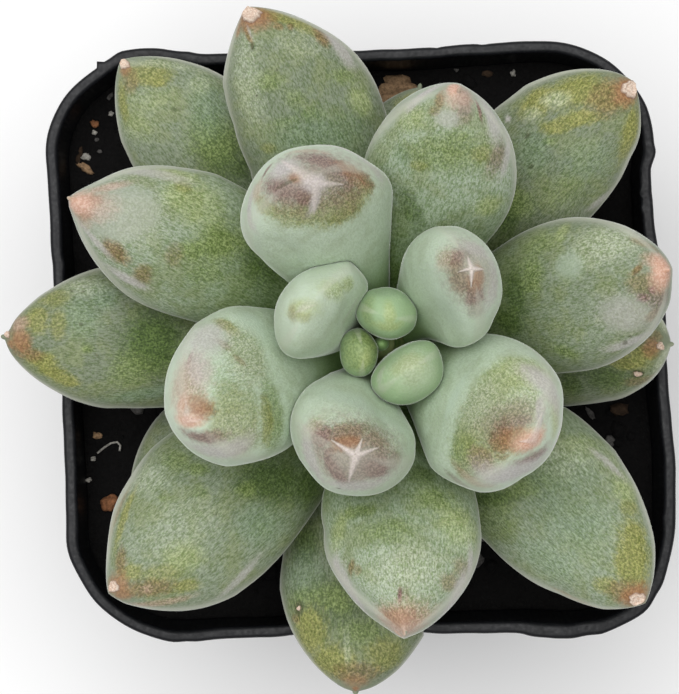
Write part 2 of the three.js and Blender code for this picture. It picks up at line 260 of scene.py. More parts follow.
def wavy_rim(points):
    """The thin rim's waves and nicks, which fade out below it."""
    around = np.arctan2(points[:, 1], points[:, 0])
    out = np.column_stack([np.cos(around), np.sin(around), np.zeros(len(points))])
    rimward = np.clip((points[:, 2] - BAND_Z) / (POT_HEIGHT - BAND_Z), 0, 1) ** 2
    wave, dip = (
        sum(size * np.sin(times * around + start) for size, times, start in waves)
        for waves in (RIM_WAVES, RIM_DIPS)
    )
    moved = points + out * (wave * rimward)[:, None]
    moved[:, 2] += rimward * dip
    edgeward = np.clip((points[:, 2] - SHARPEST_RIM_Z) / (POT_HEIGHT - SHARPEST_RIM_Z), 0, 1)
    for x, y, wide, deep in RIM_NICKS:
        away = np.hypot(points[:, 0] - x, points[:, 1] - y)
        moved -= out * (deep * edgeward * np.exp(-((away / wide) ** 2)))[:, None]
    return moved


def cut_from(piece, cutter):
    """Cuts one mesh from another and removes the cutter."""
    cut = piece.modifiers.new("cut", "BOOLEAN")
    cut.operation = "DIFFERENCE"
    cut.solver = "MANIFOLD"
    cut.object = cutter
    bpy.context.view_layer.update()
    done = bpy.data.meshes.new_from_object(piece.evaluated_get(bpy.context.evaluated_depsgraph_get()))
    piece.modifiers.clear()
    piece.data = done
    bpy.data.objects.remove(cutter)


def turned_cutter(outline, high, place, turn):
    """A prism of a flat outline, from under the pot up, for a drain hole or a slot."""
    c, s = math.cos(turn), math.sin(turn)
    spots = [(place[0] + c * x - s * y, place[1] + s * x + c * y) for x, y in outline]
    points = [(x, y, z) for z in (-1, high) for x, y in spots]
    points += [(*place, -1), (*place, high)]
    return mesh_piece("cutter", points, ringed_faces(2, len(outline)), None)


def cloud(tree, place, scale, detail, roughness=0.5, **values):
    """A noise over the surface, from 0 to 1."""
    values |= {"Vector": place, "Scale": scale, "Detail": detail, "Roughness": roughness}
    return add(tree, "TexNoise", values).outputs["Fac"]


def ramp(tree, value, low, high, to_low=0, to_high=1, **settings):
    """A value's range between two limits, stretched to another range."""
    limits = {"Value": value, "From Min": low, "From Max": high, "To Min": to_low, "To Max": to_high}
    return add(tree, "MapRange", limits, **settings).outputs[0]


def reckoned(tree, operation, *values):
    """The result of one sum on numbers."""
    return add(tree, "Math", dict(enumerate(values)), operation=operation).outputs[0]


def mixed(tree, share, low, high, **settings):
    """Two colours mixed by a share."""
    return add(tree, "Mix", {0: share, 6: low, 7: high}, data_type="RGBA", **settings).outputs[2]


def surface(tree, shader, colour, height, strength, deep):
    """Gives a shader its colour, and its fine relief from a height."""
    bump = add(tree, "Bump", {"Height": height, "Strength": strength, "Distance": deep * MM})
    tree.links.new(colour, shader.inputs["Base Color"])
    tree.links.new(bump.outputs["Normal"], shader.inputs["Normal"])


def pot_plastic():
    """Black plastic with a grey haze of dust and fine upright scuffs."""
    material, tree, shader = material_with("black_polypropylene", {"IOR": 1.49, "Specular IOR Level": 0.3})
    place = add(tree, "TexCoord").outputs["Object"]
    stretch = add(tree, "Mapping", {"Vector": place, "Scale": (1, 1, 0.06)}).outputs["Vector"]
    scuffs = cloud(tree, stretch, 2400, 3)
    haze = reckoned(tree, "MULTIPLY", ramp(tree, cloud(tree, place, 260, 4, 0.6), 0.42, 0.7), 0.35)
    dust = ramp(tree, cloud(tree, place, 3200, 2), 0.62, 0.74)
    dirt = reckoned(tree, "MULTIPLY", reckoned(tree, "MAXIMUM", dust, haze), 0.55)
    surface(tree, shader, mixed(tree, dirt, PLASTIC_DEEP, PLASTIC_DUSTY), scuffs, 0.25, 0.06)
    tree.links.new(ramp(tree, scuffs, 0.3, 0.7, 0.4, 0.58), shader.inputs["Roughness"])
    return material


def build_pot():
    round_z = POT_HEIGHT - RIM_ROUND
    band_tall = round_z - BAND_Z
    rings = [wall_level(BASE_ROUND * (1 - share), BASE_ROUND * share**2) for share in (0, 0.35, 0.7, 1)]
    rings += wall_levels(0, 3, SHOULDER_Z - STEP_BELOW, 9)
    rings += wall_levels(0, SHOULDER_Z + STEP_ABOVE, WALL_TOP, 5)
    rings += [band_level(BAND_TAPER + 0.5, BAND_Z - 0.25), band_level(BAND_TAPER, BAND_Z)]
    for share in np.linspace(0.1, 1, 8):
        rings.append(band_level(BAND_TAPER * (1 - share), BAND_Z + band_tall * share))
    for turn in np.linspace(0.2, 1, ROUND_STEPS) * math.pi / 2:
        rings.append(band_level(RIM_ROUND * (1 - math.cos(turn)), round_z + RIM_ROUND * math.sin(turn)))
    for turn in np.linspace(0, 1, ROUND_STEPS) * math.pi / 2:
        inset = RIM_THICK - RIM_ROUND * (1 - math.sin(turn))
        rings.append(band_level(inset, round_z + RIM_ROUND * math.cos(turn)))
    for share in np.linspace(0.15, 1, 7):
        rings.append(band_level(RIM_THICK + BAND_TAPER * share, round_z - (band_tall - 0.3) * share))
    rings.append(band_level(RIM_THICK + 2 * BAND_TAPER, BAND_Z - 0.1))
    rings += wall_levels(WALL, WALL_TOP, SHOULDER_Z + STEP_ABOVE, 5)
    rings += wall_levels(WALL, SHOULDER_Z - STEP_BELOW, FLOOR, 8)
    points = np.vstack([wavy_rim(np.vstack(rings)), [(0, 0, 0), (0, 0, FLOOR)]])
    pot = mesh_piece("pot_shell", points, ringed_faces(len(rings), len(rings[0])), pot_plastic())

    turns = np.linspace(0, 2 * math.pi, DRAIN_SIDES, endpoint=False)
    circle = [(DRAIN_RADIUS * math.cos(turn), DRAIN_RADIUS * math.sin(turn)) for turn in turns]
    for side, _ in CORNER_OUT:
        cut_from(pot, turned_cutter(circle, FLOOR + 1, (side[0] * DRAIN_OUT, side[1] * DRAIN_OUT), 0))
    wall_x = BASE_WIDTH / 2
    wall_y = wall_x * RIM_DEPTH / RIM_WIDTH
    deep, wide = SLOT_DEPTH / 2, SLOT_WIDTH / 2
    slot = [(deep, -wide), (deep, wide), (-deep, wide), (-deep, -wide)]
    for quarter, place in enumerate([(wall_x, 0), (0, wall_y), (-wall_x, 0), (0, -wall_y)]):
        cut_from(pot, turned_cutter(slot, SLOT_HEIGHT, place, quarter * math.pi / 2))
    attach(pot, "root")
    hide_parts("pot")


build_pot()

# The soil: dark peat filled up into the rim band, loose and crumbly, with grit, bark and perlite on top.
# It presses on the pot's walls, and the stem stands in it. The larger bits lie where they are seen.
SOIL_Z = 49.2
SOIL_GAP = 0.06
SOIL_RINGS = 64
CRUMB_SEED = 31
CRUMB_COUNT = 620
STEM_X = 2
STEM_Y = -0.4
STEM_RADIUS = 4
STEM_FOOT_Z = 36
PEAT = (0.0042, 0.0038, 0.0038)
TAN_BARK = (0.34, 0.215, 0.12)
RED_BARK = (0.3, 0.13, 0.06)
DARK_BARK = (0.05, 0.031, 0.019)
PERLITE = (0.42, 0.4, 0.36)
GREY_GRIT = (0.1, 0.095, 0.09)
# Bits on top: x, y, half length, half width, turn in degrees and colour.
TOP_BITS = (
    (4.9, 27.2, 2.4, 1.35, -4, TAN_BARK),
    (9.2, 27.0, 0.45, 0.25, 10, TAN_BARK),
    (15.2, 28.5, 0.55, 0.35, 0, DARK_BARK),
    (18.0, 28.4, 0.38, 0.26, 80, PERLITE),
    (9.2, 29.6, 0.28, 0.18, 0, GREY_GRIT),
    (11.8, 29.0, 0.25, 0.2, 0, GREY_GRIT),
    (-27.8, 24.9, 0.5, 0.38, -20, RED_BARK),
    (-26.0, 26.0, 0.32, 0.28, 0, PERLITE),
    (-26.0, 27.8, 0.4, 0.22, 50, GREY_GRIT),
    (-27.9, 24.0, 0.28, 0.24, 0, PERLITE),
    (-27.7, 23.2, 0.25, 0.2, 0, GREY_GRIT),
    (-28.9, 21.4, 0.45, 0.42, 0, PERLITE),
    (-29.6, 21.6, 0.8, 0.3, 75, DARK_BARK),
    (-29.0, 20.1, 1.0, 0.42, -35, TAN_BARK),
    (-27.4, 21.9, 0.25, 0.2, 0, GREY_GRIT),
    (-28.9, -9.0, 0.5, 0.4, 0, TAN_BARK),
    (-29.5, -11.5, 0.3, 0.25, 30, PERLITE),
    (-30.1, -13.8, 0.32, 0.25, 30, PERLITE),
    (-27.9, -16.4, 0.95, 0.85, 20, RED_BARK),
    (26.8, -12.0, 0.6, 0.5, -30, GREY_GRIT),
    (24.8, -9.0, 0.75, 0.26, -60, GREY_GRIT),
)
# A dry root fibre, by the places that it passes.
FIBRE_ROUTE = (
    (-29.0, -10.9), (-28.2, -10.3), (-27.5, -9.9), (-26.8, -9.8), (-26.5, -10.2), (-26.6, -10.8),
)
FIBRE_RADIUS = 0.12
FIBRE_SIDES = 8
FIBRE_RISE = 0.35


def soil_height(x, y):
    """The soil's top: broad swells, and crumbs of two sizes."""
    swells = math.sin(0.31 * x + 0.9) * math.cos(0.27 * y - 0.4) + 0.4 * math.sin(0.45 * x - 0.35 * y)
    coarse = noise.noise(Vector((0.9 * x, 0.9 * y, 3)))
    fine = noise.noise(Vector((2.3 * x, 2.3 * y, 8)))
    return SOIL_Z + 0.5 * swells + 0.45 * coarse + 0.3 * fine


def lump_shape(cuts):
    """Points and faces of a round lump, to be stretched into a crumb or a chip."""
    ball = bmesh.new()
    bmesh.ops.create_icosphere(ball, subdivisions=cuts, radius=1)
    points = np.array([tuple(v.co) for v in ball.verts])
    faces = [tuple(v.index for v in face.verts) for face in ball.faces]
    ball.free()
    return points, faces


def rough_lump(shape, size, turn, tilt, place, seed, roughness):
    """One crumb or chip: stretched, dented, turned and laid in place."""
    points = []
    for point in shape:
        dent = 1 + roughness * noise.noise(Vector(point) * 1.4 + Vector((seed, 0, seed)))
        dent += 0.4 * roughness * noise.noise(Vector(point) * 3.7 + Vector((0, seed, 0)))
        points.append(point * dent)
    points = np.array(points) * size
    c, s = math.cos(tilt), math.sin(tilt)
    points = points @ np.array([(1, 0, 0), (0, c, s), (0, -s, c)])
    c, s = math.cos(turn), math.sin(turn)
    return points @ np.array([(c, s, 0), (-s, c, 0), (0, 0, 1)]) + place


def fibre_tube():
    """Rings of points along the root fibre, and its faces."""
    route = [np.array((x, y, soil_height(x, y) + FIBRE_RISE)) for x, y in FIBRE_ROUTE]
    rings = []
    for i, point in enumerate(route):
        before, after = route[max(i - 1, 0)], route[min(i + 1, len(route) - 1)]
        ahead = (after - before) / np.linalg.norm(after - before)
        side = np.cross(ahead, (0, 0, 1))
        side /= np.linalg.norm(side)
        up = np.cross(side, ahead)
        for turn in np.linspace(0, 2 * math.pi, FIBRE_SIDES, endpoint=False):
            rings.append(point + FIBRE_RADIUS * (side * math.cos(turn) - up * math.sin(turn)))
    return rings + [route[0], route[-1]], ringed_faces(len(route), FIBRE_SIDES)


def soil_stuff():
    """Each bit's own colour, mottled and rough."""
    material, tree, shader = material_with("peat_and_grit", {"Roughness": 0.95, "Specular IOR Level": 0.2})
    tint = add(tree, "Attribute", attribute_name="bit_colour").outputs["Color"]
    grain = cloud(tree, add(tree, "TexCoord").outputs["Object"], 2600, 5, 0.7)
    shade = ramp(tree, grain, 0.3, 0.65, 0.35, 1.25)
    colour = add(tree, "VectorMath", {0: tint, "Scale": shade}, operation="SCALE").outputs[0]
    surface(tree, shader, colour, grain, 0.8, 0.2)
    return material


def build_soil():
    inset = WALL + SOIL_GAP
    rings = [wall_level(inset, z) for z in (FLOOR + SOIL_GAP, 12, 24, SHOULDER_Z - 0.6)]
    rings += [wall_level(inset, z) for z in (SHOULDER_Z + 0.6, BAND_Z - 1)]
    edge = band_level(RIM_THICK + BAND_TAPER + SOIL_GAP, BAND_Z + 0.6)
    rings.append(edge)
    out = edge[:, :2] - (STEM_X, STEM_Y)
    hole = (STEM_X, STEM_Y) + out / np.linalg.norm(out, axis=1)[:, None] * (STEM_RADIUS + SOIL_GAP)
    for spots in np.linspace(edge[:, :2], hole, SOIL_RINGS):
        rings.append(np.array([(x, y, soil_height(x, y)) for x, y in spots]))
    rings.append(np.column_stack([hole, np.full(len(hole), STEM_FOOT_Z)]))
    points = [tuple(p) for p in np.vstack(rings)]
    points += [(0, 0, FLOOR + SOIL_GAP), (STEM_X, STEM_Y, STEM_FOOT_Z)]
    faces = ringed_faces(len(rings), len(rings[0]))
    colours = [PEAT] * len(points)

    def lay(lump_points, lump_faces, colour):
        start = len(points)
        points.extend(tuple(p) for p in lump_points)
        faces.extend(tuple(start + i for i in face) for face in lump_faces)
        colours.extend([colour] * len(lump_points))

    random = np.random.default_rng(CRUMB_SEED)
    small, small_faces = lump_shape(2)
    large, large_faces = lump_shape(3)
    half_x, half_y = RIM_WIDTH / 2 - 3, RIM_DEPTH / 2 - 3
    for crumb in range(CRUMB_COUNT):
        x, y = random.uniform(-half_x, half_x), random.uniform(-half_y, half_y)
        wide = 0.16 + 0.75 * random.random() ** 2.5
        size = wide * np.array((1 + 0.7 * random.random(), 1, 0.55 + 0.4 * random.random()))
        kind = random.random()
        turn, tilt = random.uniform(0, 2 * math.pi), random.uniform(-0.6, 0.6)
        clear_of_stem = math.hypot(x - STEM_X, y - STEM_Y) > STEM_RADIUS + 1
        in_corner = abs(x) + abs(y) > half_x + half_y - 7
        colour = PEAT if kind < 0.88 else DARK_BARK if kind < 0.97 else GREY_GRIT
        if clear_of_stem and not in_corner:
            place = np.array((x, y, soil_height(x, y) + 0.15 * wide))
            lay(rough_lump(small, size, turn, tilt, place, crumb * 0.37, 0.5), small_faces, colour)
    for number, (x, y, long, wide, turn, colour) in enumerate(TOP_BITS):
        place = np.array((x, y, soil_height(x, y) + 0.3 * wide))
        size = np.array((long, wide, 0.75 * wide))
        lump = rough_lump(large, size, math.radians(turn), 0, place, 5 + number * 1.7, 0.6)
        lay(lump, large_faces, colour)
    lay(*fibre_tube(), PERLITE)

    soil = mesh_piece("soil_bed", points, faces, soil_stuff())
    tint = soil.data.color_attributes.new("bit_colour", "FLOAT_COLOR", "POINT")
    tint.data.foreach_set("color", np.column_stack([colours, np.ones(len(colours))]).ravel())
    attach(soil, "root")
    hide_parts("soil")


build_soil()

# The stem: short, soft and green, narrowing to the growing tip, and ringed by the leaves' feet.
# It stands in its hole in the soil and is hidden but for glimpses between the leaves.
APEX_Z = 75.5
APEX_RADIUS = 1.5
APEX_DOME = 1.4
LEAF_STEP = 0.95
FULL_STEM_LEAF = 11
STEM_SIDES = 72
STEM_DARK = (0.13, 0.2, 0.05, 1)
STEM_LIGHT = (0.3, 0.34, 0.15, 1)
SCAR_DEEP = 0.1
GOLDEN_TURN = math.radians(137.5)


def stem_radius(number):
    share = min(1, (number - 1) / (FULL_STEM_LEAF - 1))
    return APEX_RADIUS + (STEM_RADIUS - APEX_RADIUS) * share**0.8


def leaf_height(number):
    return APEX_Z - LEAF_STEP * (number - 1)


def turned_piece(name, profile, dent, material):
    """A profile of radius and height turned round the stem's axis, with a dent added to each point."""
    points = []
    for radius, z in profile:
        for turn in np.linspace(0, 2 * math.pi, STEM_SIDES, endpoint=False):
            reach = radius + dent(turn, z)
            points.append((STEM_X + reach * math.cos(turn), STEM_Y + reach * math.sin(turn), z))
    points += [(STEM_X, STEM_Y, z) for z in (profile[0][1], profile[-1][1])]
    return mesh_piece(name, points, ringed_faces(len(profile), STEM_SIDES), material)


def stem_skin():
    """Soft green skin, mottled and a little rough."""
    material, tree, shader = material_with(
        "green_stem", {"Roughness": 0.55, "Subsurface Weight": 0.1, "Subsurface Scale": 0.001}
    )
    mottle = cloud(tree, add(tree, "TexCoord").outputs["Object"], 900, 4)
    colour = mixed(tree, ramp(tree, mottle, 0.35, 0.65), STEM_DARK, STEM_LIGHT)
    surface(tree, shader, colour, mottle, 0.4, 0.1)
    return material


def build_stem():
    profile = [(STEM_RADIUS - 0.8, STEM_FOOT_Z + 0.3), (STEM_RADIUS, STEM_FOOT_Z + 2)]
    profile += [(STEM_RADIUS, z) for z in np.linspace(40, leaf_height(FULL_STEM_LEAF), 40)]
    profile += [(stem_radius(n), leaf_height(n)) for n in np.linspace(FULL_STEM_LEAF - 0.25, 1, 30)]
    for turn in np.linspace(0.1, 0.95, 8) * math.pi / 2:
        profile.append((APEX_RADIUS * math.cos(turn), APEX_Z + APEX_DOME * math.sin(turn)))

    def leaf_scars(turn, z):
        number = (APEX_Z - z) / LEAF_STEP + 1
        scar = math.sin(number * 2 * math.pi) * math.cos(turn - number * GOLDEN_TURN)
        return SCAR_DEEP * (scar - 0.5)

    stem = turned_piece("stem_core", profile, leaf_scars, stem_skin())
    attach(stem, "root")
    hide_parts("stem")


build_stem()

# The leaves: 23 plump pointed leaves, each grown from the stem on a narrow foot, one piece of watery flesh.
# Leaf 1 is the youngest, at the tip, and each older one stands a step lower and a turn further round.
# Where a younger leaf presses on an older one, the older one is dented.
TUCK = 1.6
NIB_RADIUS = 0.25
NIB_LENGTH = 0.5
SOFT_NIB_RADIUS = 0.06
SOFT_NIB_LENGTH = 0.1
FATTEST_AT = 0.6
WIDTH_FOOT, WIDTH_SWELLING, WIDTH_CLOSING = 0.38, 1.25, 1.9
THICK_FOOT, THICK_SWELLING, THICK_CLOSING, THICK_POINT = 0.46, 1.1, 2.3, 0.62
UPPER_SHARE = 0.42
OVAL_POWER = 2.15
TIP_POWER = 1.6
TIP_FROM = 0.8
SIDES = 96
FINE_SIDES = 144
RINGS = 140
NIB_RINGS = 6
MIDLINE_PARTS = 600
# A leaf's slight waves: how far, how many round it and along it, and how they differ from leaf to leaf.
UNEVEN = ((0.01, 2, 5, 1), (0.008, 3, -9, 2), (0.006, 5, 14, 3), (0.004, 4, 23, 1))
TIPWARD_CROWDING = 1.7
PRESSED_GAP = 0.06
DEEPEST_PRESS = 3
# Each leaf: where it points, length, width, thickness, rise at foot and tip, bend, twist and bluntness.
LEAVES = (
    (195.5, 7.7, 4.6, 3.7, 76, 98, 0, -14, 0.6),
    (77.5, 10.3, 6.2, 5.2, 74, 96, 0, -4, 0.6),
    (314.5, 12.3, 7.3, 5.6, 74, 95, 0, -15, 0.6),
    (149.5, 19.5, 10.4, 6.8, 62, 86, 9, -26, 0.6),
    (37.5, 23.3, 11.8, 8, 56, 82, 0, -20, 0.6),
    (252.5, 24, 12.4, 9.6, 58, 84, 2, -8, 0.6),
    (114.5, 30.6, 15, 10.6, 47, 77, 0, 0, 0.62),
    (324.5, 29.5, 14.2, 10.4, 50, 76, -1, 0, 0.62),
    (192.5, 29.8, 15, 9.6, 46, 70, 11, 0, 0.66),
    (67.8, 30.9, 15.2, 9.8, 38, 52, 4.5, 0, 0.66),
    (273.5, 32.4, 16, 10, 34, 48, -3, 0, 0.92),
    (150, 34.6, 14.8, 10, 24, 36, 3, 0, 0.82),
    (12.5, 32, 14.8, 10, 26, 50, -1, 0, 0.74),
    (223.3, 36, 17.2, 10.2, 18, 30, -5, 0, 0.82),
    (104, 35.2, 16.2, 10.2, 18, 30, 6, 0, 0.9),
    (315.2, 35.4, 16.4, 10, 15, 27, -3, 0, 0.8),
    (177, 36.1, 14.8, 9.6, 14, 22, -2, 0, 0.8),
    (45, 34.5, 16.1, 9.4, 12, 24, -2, 0, 0.72),
    (261.5, 32.8, 16.2, 9.4, 10, 20, 2.5, 0, 0.85),
    (129.5, 36.5, 15.2, 9.2, 8, 18, 0, 0, 0.76),
    (357.5, 27.1, 13.6, 9, 8, 30, 0, 0, 0.66),
    (211, 27.5, 14, 9, 5, 14, 0, 0, 0.76),
    (78.5, 23.6, 13.4, 9, 5, 14, 0, 0, 0.7),
)
YOUNG_LEAVES = 3
LAST_SOFT_TIP = 9
SCABBED_TIPS = (14, 15, 16, 18, 20)
# How much of its pale bloom each of the older leaves has lost, from leaf 10 on.
WORN = (0.55, 0.6, 0.68, 0.88, 0.85, 0.95, 0.78, 1, 1, 1, 0.9, 1, 1, 1)
# How each leaf's own outline leaves the plain form, seen from above: x, y, reach, and the move in x and y.
NUDGES = {
    1: (
        (-2.2, -0.9, 1.2, 0.25, 0), (1.3, -1.2, 1.2, 0.4, -0.1), (-0.2, -3, 1.2, 0.1, -0.3),
        (1, -2.6, 1, 0.25, -0.25),
    ),
    2: (
        (2.4, 6, 1.6, 0, -0.6), (5.2, 4.6, 1.5, -0.4, -0.4), (0, 2.8, 1.4, -0.15, -0.2),
        (2.6, 0.9, 1.6, 0, -0.5),
    ),
    3: ((1.6, -3.9, 1.4, -0.5, -0.3), (3, -5, 1.2, -0.1, -0.3), (8.5, -2.4, 1.4, -0.15, 0)),
    4: (
        (-0.7, 7.2, 1.4, 0.3, 0.7), (0.7, 5.6, 1.2, 0.35, 0.25), (0.2, 3.2, 1.3, -0.7, 0.05),
        (-0.3, 1.4, 1.2, -0.7, 0.1), (-8.5, 1.4, 1.6, 0.35, 0.05), (-5.6, -1.2, 1.6, 0, -0.3),
        (-2.9, -0.7, 1.4, 0, -0.35),
    ),
    5: (
        (11.9, 10.2, 1.8, -0.35, -0.5), (13.3, 8.4, 1.6, -0.35, -0.3), (14.3, 5.2, 2, -0.4, 0),
        (13.8, 2.4, 1.8, -0.45, 0.05), (5.3, 8.6, 2, -0.4, 0.1), (6.4, 1.1, 1.8, 0.8, 0.6),
        (9.6, 11, 1.4, -0.1, -0.2), (9.8, -0.9, 1.4, 0, -0.25),
    ),
    6: (
        (-6.2, -7.4, 2, -0.85, 0), (-5.4, -5.3, 1.8, -0.6, 0.35), (-3.6, -4, 1.6, -0.35, 0.35),
        (-6.2, -10.2, 1.8, -0.35, 0), (-3.8, -13.8, 1.8, -0.2, -0.3), (5, -7.2, 2, -0.8, -0.4),
        (5.6, -10, 1.8, -0.45, 0), (3.2, -5.6, 2, -0.6, -0.8),
    ),
    7: (
        (-3.5, 19.5, 2.5, 0, -0.25), (3.4, 15.8, 2, 0.5, 0.25), (3.9, 10, 2.5, -0.55, 0),
        (-10.6, 12.5, 2, -0.25, 0), (-8.9, 8.2, 1.8, 0.35, 0.6), (-6.8, 6.4, 2, 0.3, 0.9),
    ),
    8: (
        (13, -0.8, 2.5, 0.1, 1), (16.2, -1.9, 2.2, 0.3, 0.8), (18.6, -4.2, 2, 0.3, 0.3),
        (20.3, -8.8, 2, -0.4, 0), (19, -12.3, 2.2, -0.5, 0.45), (16.8, -14.2, 2.4, -0.4, 0.6),
        (8, -12.4, 2.2, -0.6, -0.6), (10.4, -14.4, 2.2, -0.25, -0.35),
    ),
    9: (
        (-12.6, 3.3, 2.2, 0, 0.9), (-9.4, 3.3, 1.8, 0, 0.45), (-15.8, 2.4, 1.4, -0.15, 0.3),
        (-18.7, -6.8, 1.8, -0.55, -0.15), (-16.8, -9.1, 1.8, -0.5, -0.5), (-14.2, -10.7, 1.8, -0.1, -0.55),
    ),
    10: (
        (12.6, 24.4, 1.8, -0.15, -0.2), (14.6, 21.6, 1.6, -0.2, -0.1), (15, 13.4, 2.4, 0.45, -0.05),
        (2.8, 20.2, 2.4, 0.35, -0.05),
    ),
    11: (
        (-5.1, -20, 1.8, 0.55, 0), (-4.7, -22.2, 1.8, 0.75, 0.05), (-3.2, -25.3, 1.8, 0.5, 0.35),
        (-1.4, -27.4, 1.8, 0.45, 0.45), (0.45, -28.9, 1.6, 0.4, 0.35), (3, -29.9, 1.2, 0.05, 0.25),
        (10.4, -16.5, 2.2, 0.5, 0), (10.8, -19.7, 2.2, 0.3, 0), (10, -24, 2, 0.12, 0),
    ),
    12: (
        (-26.2, 17.1, 2.2, 0.1, -0.3), (-28.4, 15.6, 1, -0.15, -0.25), (-13.2, 16.9, 2, 0.1, 0.45),
        (-11, 15.3, 1.6, 0.2, 0.7), (-20.6, 4.9, 2, 0.1, 0.25), (-17, 2.9, 2.2, 0.1, 0.4),
    ),
    13: (
        (19.6, -3.6, 2.2, 0, -0.55), (22, -3.5, 2.2, 0, -0.6), (24.3, -3, 2.2, 0.1, -0.65),
        (26.4, -2, 2, 0.3, -0.6), (28.4, -0.4, 2, 0.45, -0.45), (30.3, 1.9, 1.5, 0.25, -0.2),
        (17.4, 10.2, 2.2, 0, 0.25), (22.4, 11.4, 2.5, 0, 0.2), (26.1, 10.5, 2.2, 0, 0.2),
        (31.5, 5.4, 1.5, -0.25, 0),
    ),
    14: (
        (-25.6, -16, 2.2, -0.18, 0.03), (-22.3, -10.7, 2, -0.12, 0.15), (-23.9, -25.4, 2.2, 0, -0.4),
        (-20.7, -26, 2.5, 0, -0.45), (-17.7, -26, 2.5, 0, -0.45), (-15.4, -25.6, 2, 0, -0.25),
    ),
    15: (
        (-10.4, 33, 1.8, -0.75, 0.1), (-11.3, 30.4, 1.8, -0.7, 0), (-12, 27.8, 1.8, -0.55, 0),
        (-12.4, 21.8, 2, 0.5, 0), (-11.8, 18.8, 2.2, 0.8, 0),
    ),
    16: (
        (12.3, -22.4, 2, 0.2, 0.6), (15.1, -25.3, 2.2, 0.25, 0.6), (18.1, -27.2, 2.2, 0.1, 0.45),
        (24.6, -28.3, 2.2, 0, -0.45), (26.7, -28.3, 1.5, 0.2, -0.55), (28.4, -22.9, 3, 0.5, 0),
        (28.1, -26.3, 1.6, 0.45, 0), (21.3, -9.7, 2, 0.3, 0.8), (22.9, -11.1, 2, 0.25, 0.6),
        (24.4, -12.4, 1.8, 0.15, 0.25),
    ),
    17: (
        (-36, 1.3, 1.6, -0.2, -0.8), (-34.3, -0.8, 2, -0.25, -0.75), (-32.2, -2.7, 2, -0.1, -0.6),
        (-30.1, -4.3, 2, 0, -0.45), (-27.7, -5.2, 1.5, 0, -0.2), (-24.3, -6.1, 2, 0, 0.25),
        (-21.8, -6.3, 2, 0, 0.3), (-29.6, 7.3, 2.2, -0.05, 0.35), (-27.6, 8, 2, 0, 0.35),
        (-32, 6.3, 1.6, -0.05, 0.15), (-36.9, 2.8, 1, 0.2, -0.4),
    ),
    18: (
        (19.4, 25.9, 1.8, -0.1, 0.4), (21.8, 26.4, 2.2, 0, 0.7), (24.6, 26.4, 2.2, 0, 0.72),
        (27.4, 26, 1.8, 0.05, 0.75), (29.4, 24, 1.8, 0.45, 0.1), (29.5, 21.2, 2.2, 0.4, 0),
        (28.5, 16.5, 1.5, -0.3, 0.1), (27.8, 15.2, 1.8, -0.4, 0.3), (26.8, 13.7, 1.8, -0.7, 0.6),
        (25.8, 11.8, 1.8, -0.95, 0.8),
    ),
    19: (
        (-9, -26.4, 2, -0.4, 0), (-8.2, -29.5, 2, -0.65, -0.1), (-6.9, -31.8, 2.2, -0.65, -0.35),
        (-5, -34.2, 2, -0.55, -0.5), (-3.3, -35.7, 1.5, -0.4, -0.45), (3.5, -31.7, 1.5, 0.8, -0.5),
        (2.7, -32.6, 2.2, 1, -0.75), (0.9, -34.2, 2.2, 0.9, -0.8), (-0.75, -35.5, 1.6, 0.6, -0.6),
        (-2.2, -37, 0.9, 0.2, 0.5),
    ),
    20: (
        (-24, 26.8, 2.2, -0.35, 0), (-24.1, 25.2, 2.2, -0.33, 0), (-24.1, 23.4, 1.8, -0.25, 0),
        (-23.9, 28.9, 1.5, -0.35, 0), (-17.3, 29.6, 3, 0, 0.15), (-14.4, 28.5, 1.6, 0.1, 0.3),
    ),
    21: (
        (29.6, -5.1, 1.8, 0.5, -0.45), (30.8, -3.9, 1.6, 0.5, -0.3), (31.6, -2.4, 1.2, 0.4, -0.05),
        (31.7, -0.7, 1, 0.5, 0), (31.2, 0.2, 1.2, 0.7, 0.1), (31, 0.8, 1.2, 0.8, 0.2),
        (23.8, -8, 2.5, 0, 0.3), (27.9, -6.7, 1.5, 0.15, -0.3),
    ),
}
NUDGE_SPREAD = 1.3
# The pale star of ridges that a leaf's point wears, pressed there in the bud: its middle, then each arm's
# end and its half width at the middle. The first number is how strongly the star shows, up to 1.
RAYS = {
    4: (0.2, (-5.6, 3.3), ((-6.6, 2.9, 0.26), (-4.3, 3.7, 0.24))),
    5: (0.95, (10.85, 6.5), ((10.55, 7.7, 0.3), (12.1, 6.35, 0.3), (10.75, 4.7, 0.27), (9.5, 6.2, 0.2))),
    6: (
        0.88, (-1.1, -11.1),
        ((-3.4, -9.5, 0.36), (-0.4, -9.5, 0.34), (1.2, -10.4, 0.3), (-1.9, -13.7, 0.42)),
    ),
    7: (0.6, (-3.8, 15.2), ((-4.1, 12.4, 0.5), (-1.2, 15.1, 0.45), (-7, 17.6, 0.7))),
    8: (0.5, (16, -10.3), ((17.1, -7.7, 0.4), (14.7, -10.4, 0.3))),
    9: (0.3, (-17.3, -7), ((-15.8, -7, 0.4), (-17.3, -5, 0.36))),
}
RAY_END_SHARE = 0.12
RAY_LIFT = 0.13
HOLLOW_DEEP = 0.14
HOLLOW_REACH = 1.5
